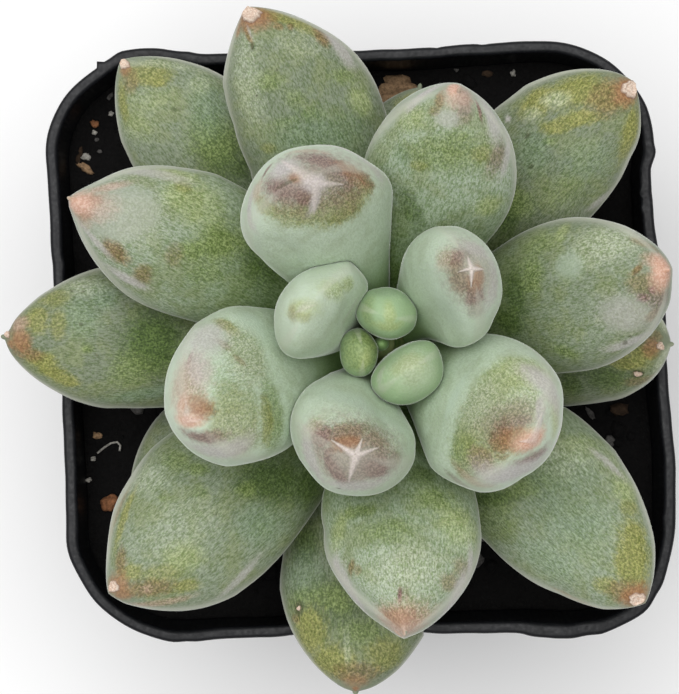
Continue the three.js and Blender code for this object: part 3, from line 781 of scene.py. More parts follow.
# What is painted on the leaves: a kind's two tones, how ragged and how soft its border is, and its strength.
KINDS = {
    # deep: the bases' darker green, painted darker still as shade between the leaves.
    "deep": ((62, 82, 32), (88, 108, 52), 0.7, 0.45, 0.9),
    "green": ((104, 120, 64), (136, 150, 94), 0.9, 0.48, 0.85),
    "lime": ((150, 160, 100), (172, 181, 126), 0.8, 0.5, 0.8),
    "blue": ((114, 134, 110), (132, 150, 126), 0.7, 0.5, 0.8),
    "pale": ((168, 174, 152), (188, 194, 174), 0.9, 0.5, 0.7),
    "mint": ((178, 196, 178), (190, 206, 190), 0.6, 0.5, 0.7),
    "olive": ((126, 126, 62), (152, 150, 86), 1.0, 0.36, 0.85),
    "frost": ((160, 168, 142), (184, 188, 164), 1.0, 0.4, 0.85),
    "brown": ((112, 90, 56), (144, 122, 84), 0.9, 0.38, 0.9),
    "plum": ((110, 82, 79), (144, 118, 111), 1.0, 0.48, 1.0),
    "blush": ((172, 140, 124), (192, 164, 148), 0.8, 0.5, 0.85),
    "rust": ((140, 97, 66), (158, 116, 82), 0.8, 0.44, 0.85),
    "peach": ((194, 150, 128), (212, 176, 156), 0.5, 0.45, 0.95),
    "lilac": ((174, 168, 166), (192, 187, 185), 0.8, 0.5, 0.9),
    "dark": ((62, 66, 40), (84, 82, 56), 0.4, 0.25, 0.85),
    "ray": ((198, 187, 180), (212, 202, 196), 0.12, 0.42, 0.9),
}
SMOOTH_KINDS = ("mint", "peach", "lilac")
WORN_KINDS = ("green", "olive", "frost", "brown", "plum", "blush", "lime")
# Marks on each leaf, seen from above: x, y, half length, half width, turn, and strength if under 1.
# The deep marks lie at the leaves' bases: painted shade between the leaves over their greener flesh.
MARKS = {
    1: {
        "deep": [(1, 0.2, 1.8, 1.4, 0, 0.95)],
        "green": [(0, -1.4, 2.6, 2.2, 0, 0.9)],
        "lime": [(0.4, -1.9, 1, 0.6, 90, 0.7)],
    },
    2: {
        "green": [(0.6, 2.8, 1.6, 0.8, 90, 0.6)],
        "lime": [(2.9, 2.2, 1.6, 0.6, 90, 0.75), (2.7, 1.2, 1.4, 0.6, 0, 0.75)],
        "blue": [(2.8, 4.8, 1.6, 0.9, 0, 0.5)],
    },
    3: {
        "green": [(4.7, -3.9, 0.9, 0.8, 90, 0.4)],
        "lime": [(4.6, -2.2, 1.4, 1, 0, 0.8), (3.6, -2.8, 1, 0.8, 0, 0.7)],
        "pale": [(5.6, -3.2, 2.4, 2.2, 0, 0.6)],
        "lilac": [(1.6, -3.6, 1.4, 0.5, 90, 0.4)],
    },
    4: {
        "lime": [(-1.1, 5.6, 1.1, 0.8, 0, 0.6), (-2.6, 5.2, 1.5, 1, 0, 0.6), (-6, 3.4, 1.6, 0.9, 0, 0.8)],
        "olive": [(-5.6, 2.4, 0.7, 0.6, 0, 0.5)],
        "brown": [(-6.7, 2.9, 0.9, 0.6, 90, 0.4)],
        "pale": [(-5.4, 3.6, 1, 0.4, 25, 0.8), (-3.1, 4.5, 0.6, 0.4, 0, 0.7)],
        "lilac": [(-1.1, 2.9, 1.9, 0.35, 83, 0.4)],
    },
    5: {
        "mint": [(8.6, 3.2, 4.5, 3.2, 90, 0.6)],
        "plum": [
            (10.5, 6.2, 3.1, 3.4, 0, 0.5), (9.7, 7.7, 1.3, 1.1, 0), (11, 3.9, 1.9, 1.3, 90, 0.9),
            (11.2, 2.4, 1.1, 0.9, 90, 0.45),
        ],
        "brown": [(9.7, 5.4, 1.5, 1.4, 0, 0.6), (9.4, 6.9, 0.9, 0.6, 0, 0.6)],
        "rust": [(11.5, 5.5, 1.3, 0.8, 90, 0.65)],
        "lilac": [(11.5, 8.4, 1.7, 1.1, 0, 0.6), (13.1, 5, 3, 0.9, 90, 0.6)],
        "blush": [(8.3, 7.5, 1.2, 1, 0, 0.5)],
    },
    6: {
        "mint": [(0, -6.2, 4.5, 1.8, 0, 0.7)],
        "plum": [
            (-0.9, -11.9, 4.9, 3.2, 0, 0.65), (-4.3, -9.2, 1.6, 1.4, 0, 0.95),
            (-3.3, -12.3, 3, 1.2, -68, 0.95), (0.9, -12.3, 2.7, 2, -10, 0.95),
            (2.6, -11.8, 1.4, 1.2, 0, 0.6),
        ],
        "brown": [(-1.9, -8.9, 2, 1.4, 0, 0.8), (0.9, -9.6, 1.2, 0.9, 0, 0.5)],
        "rust": [(-1.9, -9.8, 1.4, 0.8, 0, 0.8)],
        "blush": [(-5.2, -8.1, 1.1, 0.9, 0, 0.4)],
        "lilac": [(-5.6, -11.2, 3, 1, 95, 0.8), (-1, -14.2, 3, 0.9, 0, 0.7)],
        "pale": [(3.4, -13, 1.6, 1.2, 0, 0.5)],
        "dark": [(-2.9, -14.3, 0.25, 0.16, 0, 0.6), (-4.7, -8.2, 0.2, 0.16, 0, 0.5)],
    },
    7: {
        "olive": [
            (-0.9, 13, 3.2, 1.9, 20, 0.95), (0.8, 14.6, 1.5, 1.1, 0, 0.85),
            (-8.7, 13.2, 1.9, 0.9, -10, 0.65), (-3.6, 12.6, 4.6, 1.7, 0, 0.75),
        ],
        "blush": [(-4.4, 18.5, 2, 0.5, -6, 0.5), (-9.6, 14.9, 1.1, 1, 0, 0.6)],
        "plum": [
            (-6.9, 14.7, 3.2, 1.4, -6, 1), (-5.1, 13.9, 1.7, 1.1, -50, 0.95),
            (-2.1, 16.9, 4.4, 1.9, -18, 0.95), (-8.5, 16.8, 0.9, 0.3, 72, 0.9), (-3.6, 15, 6, 2.8, 0, 0.65),
        ],
        "brown": [(-4.9, 14.2, 1.2, 0.8, 90, 0.5), (1.1, 15.5, 1.4, 0.8, -20, 0.7)],
        "rust": [(-5.8, 15.9, 0.8, 0.5, -30, 0.75), (-0.3, 16.3, 2, 0.9, -15, 0.7)],
        "dark": [(-6.7, 15.3, 1.6, 0.2, 10, 0.5)],
        "lilac": [
            (-6.9, 16.9, 1.6, 1.1, -30, 0.95), (-3.9, 15.2, 1.2, 0.8, 0, 0.9),
            (-4, 13.3, 1.4, 0.5, 88, 0.8), (1.7, 17, 1.7, 1, -35, 0.8), (-3.5, 19.3, 4.2, 0.7, 0, 0.9),
            (-10.4, 13, 2.2, 0.6, 80, 0.8),
        ],
    },
    8: {
        "mint": [(8.9, -6, 2.6, 0.8, 76, 0.7)],
        "lime": [(13.9, -3.9, 3.8, 2.4, 0, 0.8), (18.5, -8, 2.2, 1, 72, 0.85)],
        "frost": [(11.2, -6.6, 2.8, 2.4, 40, 0.9), (15.6, -6.6, 1.6, 1.2, 0, 0.7)],
        "green": [(9.4, -10.9, 3.2, 2.3, 100, 0.9)],
        "olive": [(12.6, -7.8, 5.4, 5, 0, 0.4), (10, -11.4, 1.8, 1.2, 90, 0.5)],
        "brown": [(12.8, -10.1, 1.9, 1.3, 90, 0.9), (11, -12.1, 1.6, 1.4, 0, 0.85)],
        "plum": [
            (14.2, -8.4, 2.3, 1.1, 0, 0.85), (16, -12.1, 1.9, 0.8, 5, 0.85), (13.5, -8, 3.4, 1.8, 0, 0.45),
            (8.8, -14.2, 1.4, 0.7, 0, 0.5),
        ],
        "rust": [(14.2, -10.2, 1.9, 1.2, 0, 0.85)],
        "blush": [(10, -14, 2.2, 0.8, -10, 0.6)],
        "peach": [(16.1, -10.4, 1.7, 0.9, 15)],
        "lilac": [
            (18.6, -11.1, 2.8, 1.4, 57, 0.95), (13.9, -13.6, 3.8, 1.6, 14, 0.95),
            (17.6, -4.9, 3.4, 1.3, -68, 0.9), (16.9, -7.4, 1.8, 0.5, 70, 0.7),
        ],
        "dark": [(16, -0.7, 0.3, 0.25, 0, 0.7)],
    },
    9: {
        "mint": [(-10.8, 2.2, 1.8, 1.8, 0, 0.6)],
        "frost": [(-11.4, -1, 3.4, 2.6, 60, 1), (-13, -7.5, 1.5, 1, 0, 0.6)],
        "green": [(-8.9, -6.6, 3.6, 1.6, 90, 0.75), (-12.4, -5, 3.6, 2.6, 95, 0.2)],
        "olive": [
            (-13.1, 1.9, 1.5, 0.9, -50), (-9.6, -7.4, 2.5, 1.1, 88, 0.75),
            (-12.4, -7.6, 3.2, 3.4, 90, 0.55),
        ],
        "blush": [(-17, -3.1, 3.3, 1.8, 85, 0.7), (-16.8, -6, 1.4, 1.2, 0, 0.7)],
        "rust": [(-16, -5.4, 1.3, 1.1, 0, 0.75)],
        "brown": [
            (-15.4, -6.2, 1.2, 0.7, 0, 0.8), (-13.6, 0.2, 0.9, 0.5, -42, 0.5),
            (-12, -1.5, 0.9, 0.4, -30, 0.5),
        ],
        "plum": [
            (-16.9, -1.3, 1.3, 0.3, 95, 0.8), (-15.7, -8.8, 2.3, 0.8, -10, 0.85),
            (-17.2, -3, 2.8, 1.3, 88, 0.3), (-12.4, -10.3, 1.2, 0.4, 0, 0.4),
        ],
        "peach": [(-17.3, -7.1, 1.5, 0.7, 0, 0.9), (-17.8, -5.7, 1.3, 0.6, 80, 0.5)],
        "lilac": [
            (-15.2, 0.9, 2.7, 1.8, 62, 0.8), (-16, -1.8, 2.4, 1.2, 90, 0.6),
            (-14, -10.3, 3.7, 1.3, -6, 0.85),
        ],
    },
    10: {
        "deep": [(5.5, 13, 2.5, 1.2, 90, 0.7)],
        "blue": [(4.9, 17.9, 1.3, 0.8, 90, 0.6)],
        "green": [(9.2, 18, 3.6, 2.2, 0, 0.75), (10.2, 19.3, 1.6, 1, 0, 0.8)],
        "lime": [(13.2, 12.8, 1.4, 1.3, 0, 0.7), (5.7, 21.6, 1.6, 1.2, 0, 0.5)],
        "olive": [(12.6, 17.8, 1.2, 1, 0, 0.5), (6.3, 17, 0.9, 0.6, 0, 0.5)],
        "blush": [(10.4, 23.6, 1.4, 1.3, 0, 0.8)],
        "plum": [
            (11, 22.4, 1.6, 0.9, 90, 0.6), (12.5, 22.1, 1.3, 0.2, -72, 0.9), (14.2, 17.4, 1.9, 1, 90, 0.55),
        ],
        "brown": [(8.6, 23.1, 1, 0.5, 80, 0.8), (8.1, 22.2, 0.6, 0.5, 0, 0.6)],
        "peach": [(10.05, 24.4, 1, 0.6, 90)],
        "lilac": [
            (7.1, 23.9, 2.4, 0.6, 22, 0.9), (13.7, 21.5, 2.6, 0.9, -62, 0.8), (9.3, 21.3, 1.2, 0.9, 0, 0.5),
            (15.2, 17.5, 2.5, 0.5, 93, 0.7),
        ],
    },
    11: {
        "deep": [(5.5, -13.9, 1.2, 1.2, 0, 0.6)],
        "green": [
            (-1, -17, 1.8, 0.8, 0, 0.85), (2, -18.9, 2.6, 1.4, 0, 0.7), (2.2, -19.9, 1.4, 0.5, 0, 0.6),
            (6.7, -16.2, 2, 1.2, 0, 0.7),
        ],
        "lime": [(8.8, -19, 2.4, 2, 90, 0.6), (-3.1, -18.8, 2.4, 1, 90, 0.6)],
        "pale": [(3.6, -22.6, 3.6, 2.6, 0, 0.8)],
        "brown": [
            (-2.1, -22.4, 0.8, 0.5, 80, 0.8), (-1.35, -22.7, 0.5, 0.5, 0, 0.5),
            (7.7, -24.3, 1.2, 0.9, 0, 0.6), (9, -23.1, 1.1, 1.1, 0, 0.5),
        ],
        "plum": [(2.65, -25.1, 0.8, 0.22, 88), (3.35, -25.1, 0.8, 0.2, 88, 0.4)],
        "blush": [(2.5, -27.9, 2.9, 1.8, 0)],
        "rust": [(2.2, -27.3, 1.9, 0.9, 0, 0.65)],
        "peach": [(2.3, -29, 0.5, 0.35, 0, 0.7)],
        "lilac": [
            (-3.4, -22.9, 1.8, 0.8, -55, 0.85), (-2.2, -24.9, 2.8, 1, -50, 0.9),
            (8.3, -25.8, 2.8, 1.1, 45, 0.9), (9.8, -22.8, 1.8, 0.5, 72, 0.8),
        ],
    },
    12: {
        "deep": [(-9.5, 8.5, 3, 2.4, -40, 0.8)],
        "green": [(-16.2, 9.9, 2, 1.2, 0), (-13.9, 10.5, 2.6, 2, 0), (-15.4, 7.6, 2, 1.4, 0, 0.7)],
        "lime": [
            (-17.6, 17.5, 2.2, 1, 0, 0.8), (-17.8, 15.3, 1.6, 1.4, 0, 0.75),
            (-15.5, 14.3, 2.6, 2.2, 0, 0.6),
        ],
        "pale": [(-21.6, 12.8, 3, 2.5, 0, 0.5)],
        "olive": [(-17.2, 16.2, 1, 0.7, 0, 0.6)],
        "brown": [
            (-24.2, 9.9, 1.7, 0.9, -52), (-21.7, 7.5, 1.2, 1, 90, 0.75), (-18.4, 9.4, 1.2, 1, 90, 0.45),
        ],
        "blush": [
            (-24.6, 16.4, 2.2, 0.5, 22, 0.85), (-27.1, 13, 0.9, 0.8, 0, 0.5),
            (-26.2, 14.4, 2.2, 1.5, 0, 0.8),
        ],
        "rust": [(-27.1, 13.8, 0.9, 0.7, 0, 0.75), (-26.2, 15.1, 1, 0.7, 0, 0.7)],
        "peach": [(-27.5, 14.7, 1.5, 1, 0)],
        "lilac": [
            (-23.4, 13.8, 4, 3, 0, 0.25), (-19.7, 17.6, 3.5, 0.7, 5, 0.6),
            (-23.3, 7.2, 2.4, 0.6, -50, 0.85), (-26.2, 11.2, 2.5, 0.4, -60, 0.8),
        ],
    },
    13: {
        "deep": [(15.2, 1.3, 2, 1.4, 0, 0.85), (15.9, 3.9, 2.6, 1.4, 90, 0.8)],
        "green": [
            (17.5, 6, 2.2, 1.5, 90, 0.85), (20.6, -2, 1.5, 0.8, 0, 0.85), (18.5, 9, 1.8, 1.2, 0, 0.6),
        ],
        "lime": [(20.7, 9.9, 1.2, 0.7, 90, 0.6)],
        "mint": [(21.2, 6.6, 1.6, 1.3, 0, 0.5)],
        "pale": [(25, 8.7, 3.5, 2, 0, 0.8)],
        "lilac": [(26.5, 1.4, 2.8, 2, 0, 0.5), (26.7, -1.5, 2.5, 0.6, 35, 0.8)],
        "brown": [
            (28.1, 4.4, 1.6, 1.2, 0, 0.6), (27.6, 5.8, 0.7, 0.35, 45), (28.7, 8.5, 1.5, 0.6, -40, 0.6),
            (29.1, 1.3, 0.9, 0.6, 60, 0.7),
        ],
        "plum": [(28.3, 3, 0.7, 0.5, 0), (29.1, 3.7, 0.5, 0.45, 90), (29.7, 2.8, 1.2, 1.2, 0, 0.6)],
        "blush": [(29.4, 6.9, 1.2, 0.8, 0, 0.8), (29.8, 4.5, 1, 1, 0, 0.7)],
        "peach": [(30.2, 5.7, 1.7, 1.1, 90)],
        "dark": [(26.4, -1.4, 0.4, 0.3, 90, 0.7), (26.9, -0.8, 0.25, 0.2, 0, 0.7)],
    },
    14: {
        "deep": [(-9.8, -14, 3.5, 2.2, 0, 0.9), (-6.2, -14.8, 2, 2, 0, 0.8)],
        "green": [
            (-19.2, -11.5, 1.5, 1.2, 0, 0.7), (-17.2, -12.3, 1.2, 0.7, 0, 0.9),
            (-17, -14.6, 0.9, 0.7, 0, 0.6), (-20.4, -15.1, 0.8, 0.4, 0, 0.5),
            (-12.3, -14.6, 1, 0.8, 0, 0.9),
        ],
        "blue": [(-11.1, -18.4, 2.5, 2, 0, 0.7)],
        "pale": [(-22.5, -13, 2, 1.6, 0, 0.5), (-19, -18, 4, 2.4, 30, 0.4)],
        "lime": [(-18.9, -21, 2, 1.4, 0, 0.6)],
        "olive": [
            (-24.8, -16.8, 3.5, 0.45, 84, 0.8), (-24.1, -22.3, 1.2, 0.8, 0, 0.8),
            (-21.4, -22.6, 2.2, 0.9, 0, 0.6), (-18.8, -24, 1.5, 0.7, 0, 0.8),
        ],
        "brown": [
            (-25.8, -17, 3.5, 0.45, 87, 0.6), (-25.2, -21.2, 1.5, 0.6, 90, 0.8),
            (-22.5, -24, 2.5, 0.9, 0, 0.8),
        ],
        "rust": [(-25.6, -23.6, 1.2, 1.2, 0, 0.9), (-25.2, -24.5, 1, 0.7, 0, 0.85)],
        "blush": [(-21.5, -25.6, 3.5, 0.45, 0, 0.7), (-22.6, -24.1, 0.6, 0.4, 0, 0.5)],
        "lilac": [(-13.3, -23.6, 3, 0.5, 32, 0.7)],
        "dark": [(-16, -17.1, 1, 0.15, 20, 0.4)],
    },
    15: {
        "deep": [(0, 22.1, 2.2, 1.8, 0, 0.25)],
        "green": [
            (-8.2, 26.6, 1.4, 0.9, 0, 0.7), (-0.5, 27, 1.6, 0.8, 0, 0.7), (-5.7, 24.8, 1.4, 0.9, -50, 0.5),
            (-4, 23.2, 1.2, 1, 0, 0.6), (-6.7, 22.6, 1.4, 0.5, 0, 0.5),
        ],
        "blue": [(-3.6, 20.4, 4.4, 3, 0, 0.8)],
        "lime": [(1, 24.5, 1.6, 1.2, -50, 0.6)],
        "pale": [(-10.4, 27, 5, 1.4, 88, 0.6)],
        "olive": [
            (-7.5, 33.4, 1.9, 0.8, -15), (-5.7, 32.7, 2, 0.7, -22), (-4.1, 32, 1.6, 0.7, -25),
            (-8.6, 20, 0.8, 0.6, 0, 0.5),
        ],
        "frost": [(-4.6, 30.4, 2.6, 1.6, 0, 0.35)],
        "brown": [
            (-2.6, 31, 1.1, 0.8, -40), (-10.05, 31.3, 0.9, 0.28, -65, 0.95), (-6.9, 32.1, 0.5, 0.4, 0, 0.8),
            (-5.8, 32.1, 0.4, 0.4, 0, 0.8),
        ],
        "rust": [(-9.5, 33.1, 2, 1.3, 0), (-11.1, 32.1, 0.8, 0.4, 75, 0.8)],
        "lilac": [(-0.7, 29.8, 2.4, 0.8, -45, 0.8), (-9.9, 31.6, 0.8, 0.15, -70, 0.6)],
        "dark": [
            (-9.7, 30.2, 0.4, 0.2, 80), (-2.5, 26.2, 0.2, 0.2, 0), (-7.2, 27.8, 0.2, 0.2, 0),
            (-9.4, 25.3, 0.2, 0.2, 0),
        ],
    },
    16: {
        "deep": [(12.7, -16.8, 3, 0.9, 0, 0.9)],
        "green": [
            (16.4, -15.9, 1.8, 1, 0, 0.8), (18.5, -14.7, 1.5, 1.2, 0, 0.6), (12.9, -19.2, 2.5, 2, 0, 0.6),
        ],
        "pale": [(20.2, -13.2, 2.6, 1.8, -30, 0.6)],
        "blue": [
            (20, -14.6, 3, 2.4, 0, 0.6), (20.8, -19.2, 4.5, 3.2, -60, 0.6),
            (18.2, -23.3, 3.4, 1.8, -30, 0.6),
        ],
        "lime": [(21.9, -12, 2, 1.5, 0, 0.5), (26.4, -16.4, 1.5, 1.2, 90, 0.7)],
        "olive": [
            (26.6, -23.6, 3.6, 1.8, 88), (27, -21, 1.8, 1.4, 90), (26.7, -18.3, 1, 1, 0, 0.7),
            (23.8, -25.9, 1.2, 0.9, 0, 0.8),
        ],
        "brown": [(25.6, -26.5, 1.8, 1, 0, 0.7), (21.4, -27.8, 3, 0.5, -8, 0.7)],
        "rust": [(26.7, -27.2, 1.6, 1.2, 20)],
        "lilac": [(24.8, -13.6, 2.5, 0.4, -50, 0.7)],
    },
    17: {
        "deep": [(-21.3, 0.8, 3.3, 3.3, 0, 1)],
        "green": [(-24, -2, 2, 1.8, 0, 0.7), (-28, 0.4, 0.6, 0.5, 0, 0.9)],
        "blue": [
            (-28.5, 3.7, 2.2, 1.8, 90, 0.7), (-26.3, 5.8, 1.5, 1.5, 0, 0.8), (-22.8, -4.6, 4, 0.8, 0, 0.8),
        ],
        "pale": [(-28, 6.8, 2.2, 1, 0, 0.6)],
        "olive": [
            (-31.3, 5.8, 1.6, 1, 0, 0.6), (-33, 3.6, 1.5, 1.2, 90, 0.8), (-30.9, 3, 1.5, 0.8, 90, 0.7),
            (-32.8, -0.6, 1.6, 0.8, -10), (-31.8, -1.8, 1.8, 0.8, -25), (-30.3, -2.8, 1.5, 0.7, -20, 0.9),
        ],
        "brown": [(-35, 1.8, 2, 1.2, 90, 0.7), (-33.6, 0, 1, 0.7, 0, 0.9)],
        "rust": [(-34.7, 1.3, 1.2, 1, 90, 0.85), (-35.9, 1.2, 0.5, 0.5, 0, 0.7)],
        "blush": [(-34.9, 3.3, 0.9, 0.9, 0, 0.7)],
        "dark": [
            (-28.6, 2.9, 0.25, 0.25, 0, 0.7), (-28.3, 6.3, 0.25, 0.2, 0, 0.6),
            (-29.4, 6.4, 0.25, 0.2, 0, 0.6), (-27.1, -0.2, 0.2, 0.2, 0, 0.7),
        ],
    },
    18: {
        "deep": [(15.9, 12.6, 2.6, 1.3, 75, 0.9)],
        "green": [
            (17.3, 13.6, 1.5, 1.5, 0, 0.8), (20.3, 19.7, 0.7, 0.35, 0, 0.9), (21.7, 14.5, 3, 2, 0, 0.4),
        ],
        "blue": [(18.6, 18.6, 2.2, 1.8, 90, 0.8), (23.9, 17.6, 3, 2, 0, 0.5)],
        "olive": [
            (19.4, 23.9, 2.4, 1.5, 20), (23.3, 24.8, 3, 1.6, 5), (26.4, 24, 2.4, 1.4, 0),
            (23.5, 21.9, 2.6, 0.8, 8), (21, 21.1, 1.6, 0.7, 0, 0.9), (28.7, 20.2, 3, 1, 85),
            (28.3, 18.6, 1.2, 0.7, 90, 0.7),
        ],
        "frost": [(21.1, 24, 1.6, 0.8, 0, 0.7), (18.7, 22.6, 1, 0.8, 0, 0.6)],
        "brown": [(26.8, 24, 2.6, 1.8, 30, 0.75)],
        "rust": [(28.4, 24.4, 1.5, 1.2, 40)],
        "lilac": [(16.2, 22.3, 0.45, 0.3, 90), (25.3, 13.4, 1.5, 0.5, 45, 0.6)],
        "dark": [(18.1, 20.5, 0.6, 0.25, 60, 0.8), (18.4, 17.2, 0.35, 0.35, 0, 0.6)],
    },
    19: {
        "deep": [(-6.7, -20.9, 2, 1.5, 90, 0.8), (-4.8, -27, 4, 3, 0, 0.55)],
        "green": [
            (-1.1, -30.2, 2.2, 1.4, 0, 0.85), (-3.8, -26.6, 2, 1.2, -45, 0.9),
            (-5.9, -26.1, 2.5, 0.9, 0, 0.6),
        ],
        "blue": [(-7.1, -23.8, 2.2, 2, 0, 0.6)],
        "olive": [
            (-6.6, -30, 2.5, 1.8, 90, 0.85), (-4.6, -33, 2.5, 1.8, 0, 0.9), (1.1, -32.7, 2, 1.7, 0, 0.8),
        ],
        "frost": [(-2.8, -31.7, 2.2, 0.35, 90, 0.6)],
        "brown": [(-2, -34.4, 2.5, 1.1, 0, 0.7), (-8, -28.6, 0.6, 0.5, 0, 0.6)],
        "rust": [(-2.2, -35.3, 1.3, 0.8, 0, 0.5), (-2.1, -36, 0.45, 0.4, 0)],
        "dark": [(-7.6, -27.5, 0.8, 0.55, 80, 0.8)],
    },
    20: {
        "deep": [(-11.9, 18.8, 1.6, 1.6, 0, 0.8), (-13.8, 20.6, 3.4, 2.4, -60, 0.95)],
        "green": [(-14.2, 21.6, 3, 2.4, 0, 0.6)],
        "blue": [(-14.7, 25.2, 3, 2, 90, 0.7)],
        "lime": [(-20.4, 25.9, 2.5, 1.3, 0, 0.35), (-22.3, 23.5, 1.8, 1.6, 0, 0.35)],
        "olive": [
            (-20.9, 28.8, 2.4, 1.2, 0, 0.8), (-20.3, 28.2, 1.6, 0.8, 0), (-19.8, 27.7, 0.9, 0.5, 0),
            (-23.7, 25.9, 2.2, 0.6, 90, 0.8),
        ],
        "frost": [(-19.3, 29.7, 4, 0.5, 0, 0.6), (-15.6, 27.5, 1.2, 0.9, 0, 0.5)],
        "brown": [(-22.7, 28, 1.2, 0.8, 90, 0.6)],
        "rust": [(-23.3, 29.2, 0.6, 0.6, 0, 0.8)],
        "dark": [(-18.1, 24.9, 0.8, 0.22, 0, 0.4)],
    },
    21: {
        "deep": [(25.5, -5, 2.5, 1.5, 0, 0.8), (22, -5.5, 1.5, 1.2, 90, 0.8)],
        "olive": [(28, -3.5, 2, 0.8, 0), (29.4, -2.6, 1.4, 0.9, 0)],
        "frost": [(31.5, -3.2, 1.6, 0.5, 60, 0.8), (31.6, 0.4, 1, 0.5, 90, 0.8)],
        "brown": [(28.9, -5.5, 1.5, 0.6, 0, 0.6), (30.85, -0.9, 0.6, 0.6, 0, 0.6)],
        "rust": [(30.2, -2, 1, 0.9, 90, 0.9), (30.65, -1.65, 0.4, 0.3, 0)],
        "dark": [(28.75, -4.7, 0.75, 0.48, -10)],
    },
    22: {"green": [(-16, -11, 4, 3, 30, 0.8)], "olive": [(-21, -14.6, 2.4, 2, 30, 0.7)]},
    23: {"green": [(5.5, 18, 3, 3, 0, 0.9)], "olive": [(7, 24.6, 2, 1.6, 0, 0.8)]},
}


def share_of_size(share, foot, swelling, closing, point):
    """A leaf's share of its full width or thickness, along its length."""
    rise = foot + (1 - foot) * np.sin(np.minimum(share / FATTEST_AT, 1) * math.pi / 2) ** swelling
    beyond = np.clip((share - FATTEST_AT) / (1 - FATTEST_AT), 0, 1)
    return np.where(share < FATTEST_AT, rise, (1 - beyond**closing) ** point)


def smooth_step(low, high, values):
    share = np.clip((values - low) / (high - low), 0, 1)
    return share * share * (3 - 2 * share)


class Leaf:
    """One leaf's form: rings of points along its arched midline, from its foot to its nib."""

    def __init__(self, number):
        self.number = number
        around, self.length, self.width, self.thick, *turns, self.point = LEAVES[number - 1]
        foot_rise, tip_rise, bend, twist = turns
        self.around, self.bend, self.twist = map(math.radians, (around, bend, twist))
        self.rise = math.radians(foot_rise), math.radians(tip_rise)
        self.shares = 1 - (1 - np.linspace(0, 1, RINGS)) ** TIPWARD_CROWDING
        self.sides = FINE_SIDES if number in RAYS else SIDES
        soft = number <= LAST_SOFT_TIP or number in SCABBED_TIPS
        self.nib = (SOFT_NIB_RADIUS, SOFT_NIB_LENGTH) if soft else (NIB_RADIUS, NIB_LENGTH)
        self.make_rings()
        self.points[:, :2] += moved_by(self.points[:, :2], NUDGES.get(number, ()), NUDGE_SPREAD)
        self.ring_up()
        self.raise_rays()

    def directions(self, share):
        """Along the leaf, and across it, at each share of its length."""
        heading = self.around + 2 * self.bend * share**1.5
        rise = self.rise[0] + (self.rise[1] - self.rise[0]) * share
        level = np.cos(heading), np.sin(heading)
        along = np.column_stack([np.cos(rise) * level[0], np.cos(rise) * level[1], np.sin(rise)])
        flat = np.column_stack([-level[1], level[0], np.zeros(len(share))])
        across = flat * math.cos(self.twist) + np.cross(along, flat) * math.sin(self.twist)
        return along, across

    def midline(self, share):
        """Places on the midline."""
        fine = (np.arange(MIDLINE_PARTS) + 0.5) / MIDLINE_PARTS
        steps = self.directions(fine)[0] * self.length / MIDLINE_PARTS
        walked = np.vstack([(0, 0, 0), np.cumsum(steps, axis=0)])
        at = np.linspace(0, 1, MIDLINE_PARTS + 1)
        out = stem_radius(self.number) + 0.3
        level = leaf_height(self.number)
        start = (STEM_X + out * math.cos(self.around), STEM_Y + out * math.sin(self.around), level)
        return np.column_stack([start[axis] + np.interp(share, at, walked[:, axis]) for axis in range(3)])

    def make_rings(self):
        shares = self.shares
        along, across = self.directions(shares)
        up = np.cross(along, across)
        places = self.midline(shares)
        tipward = smooth_step(0.9, 1, shares) * self.nib[0]
        wide = self.width / 2 * share_of_size(shares, WIDTH_FOOT, WIDTH_SWELLING, WIDTH_CLOSING, self.point)
        thick = self.thick * share_of_size(shares, THICK_FOOT, THICK_SWELLING, THICK_CLOSING, THICK_POINT)
        pointed = np.clip((shares - TIP_FROM) / (1 - TIP_FROM), 0, 1) ** 1.5
        power = 2 / (OVAL_POWER + (TIP_POWER - OVAL_POWER) * pointed)
        angle = np.linspace(0, 2 * math.pi, self.sides, endpoint=False)
        c, s = np.cos(angle), np.sin(angle)
        reach = thick[:, None] * np.where(s > 0, UPPER_SHARE, 1 - UPPER_SHARE)
        out = np.sign(c) * np.abs(c) ** power[:, None] * np.hypot(wide, tipward)[:, None]
        high = np.sign(s) * np.abs(s) ** power[:, None] * np.hypot(reach, tipward[:, None])
        swell = self.swell(shares[:, None], angle)
        sideways = across[:, None] * (out * swell)[..., None]
        rings = places[:, None] + sideways + up[:, None] * (high * swell)[..., None]

        tuck = rings[0] - along[0] * TUCK
        nib_turns = np.linspace(0, 1, NIB_RINGS + 1)[1:-1] * math.pi / 2
        nib = []
        for turn in nib_turns:
            centre = places[-1] + along[-1] * self.nib[1] * math.sin(turn)
            nib.append(centre + (rings[-1] - places[-1]) * math.cos(turn))
        ends = [tuck.mean(0), places[-1] + along[-1] * self.nib[1]]
        self.rings = np.vstack([tuck[None], rings, nib])
        self.points = np.vstack([self.rings.reshape(-1, 3), ends])

        pad = np.concatenate([[0], shares, np.ones(len(nib))])
        self.share = np.append(np.repeat(pad, self.sides), [0, 1])
        self.angle = np.append(np.tile(angle, len(pad)), [0, 0])
        padded_out = np.vstack([out[:1], out, np.repeat(out[-1:], len(nib), 0)])
        padded_high = np.vstack([high[:1], high, np.repeat(high[-1:], len(nib), 0)])
        run = pad[:, None] * self.length + np.zeros(self.sides)
        skin = np.stack([padded_out, padded_high, run], axis=2).reshape(-1, 3)
        self.skin = np.vstack([skin, [(0, 0, 0), (0, 0, self.length)]]) + 60.0 * self.number

    def swell(self, share, angle):
        """The leaf's own unevenness, and the soft ridges of its margins and keel near the tip."""
        uneven = 0
        for size, turns, waves, own in UNEVEN:
            uneven = uneven + size * np.sin(turns * angle + waves * share + own * self.number)
        ridge = np.exp(-((np.sin(angle) / 0.14) ** 2)) * smooth_step(0.55, 0.9, share) * 0.022
        keel = np.exp(-(((angle - 1.5 * math.pi) / 0.2) ** 2)) * smooth_step(0.7, 0.95, share) * 0.02
        return 1 + uneven + ridge + keel

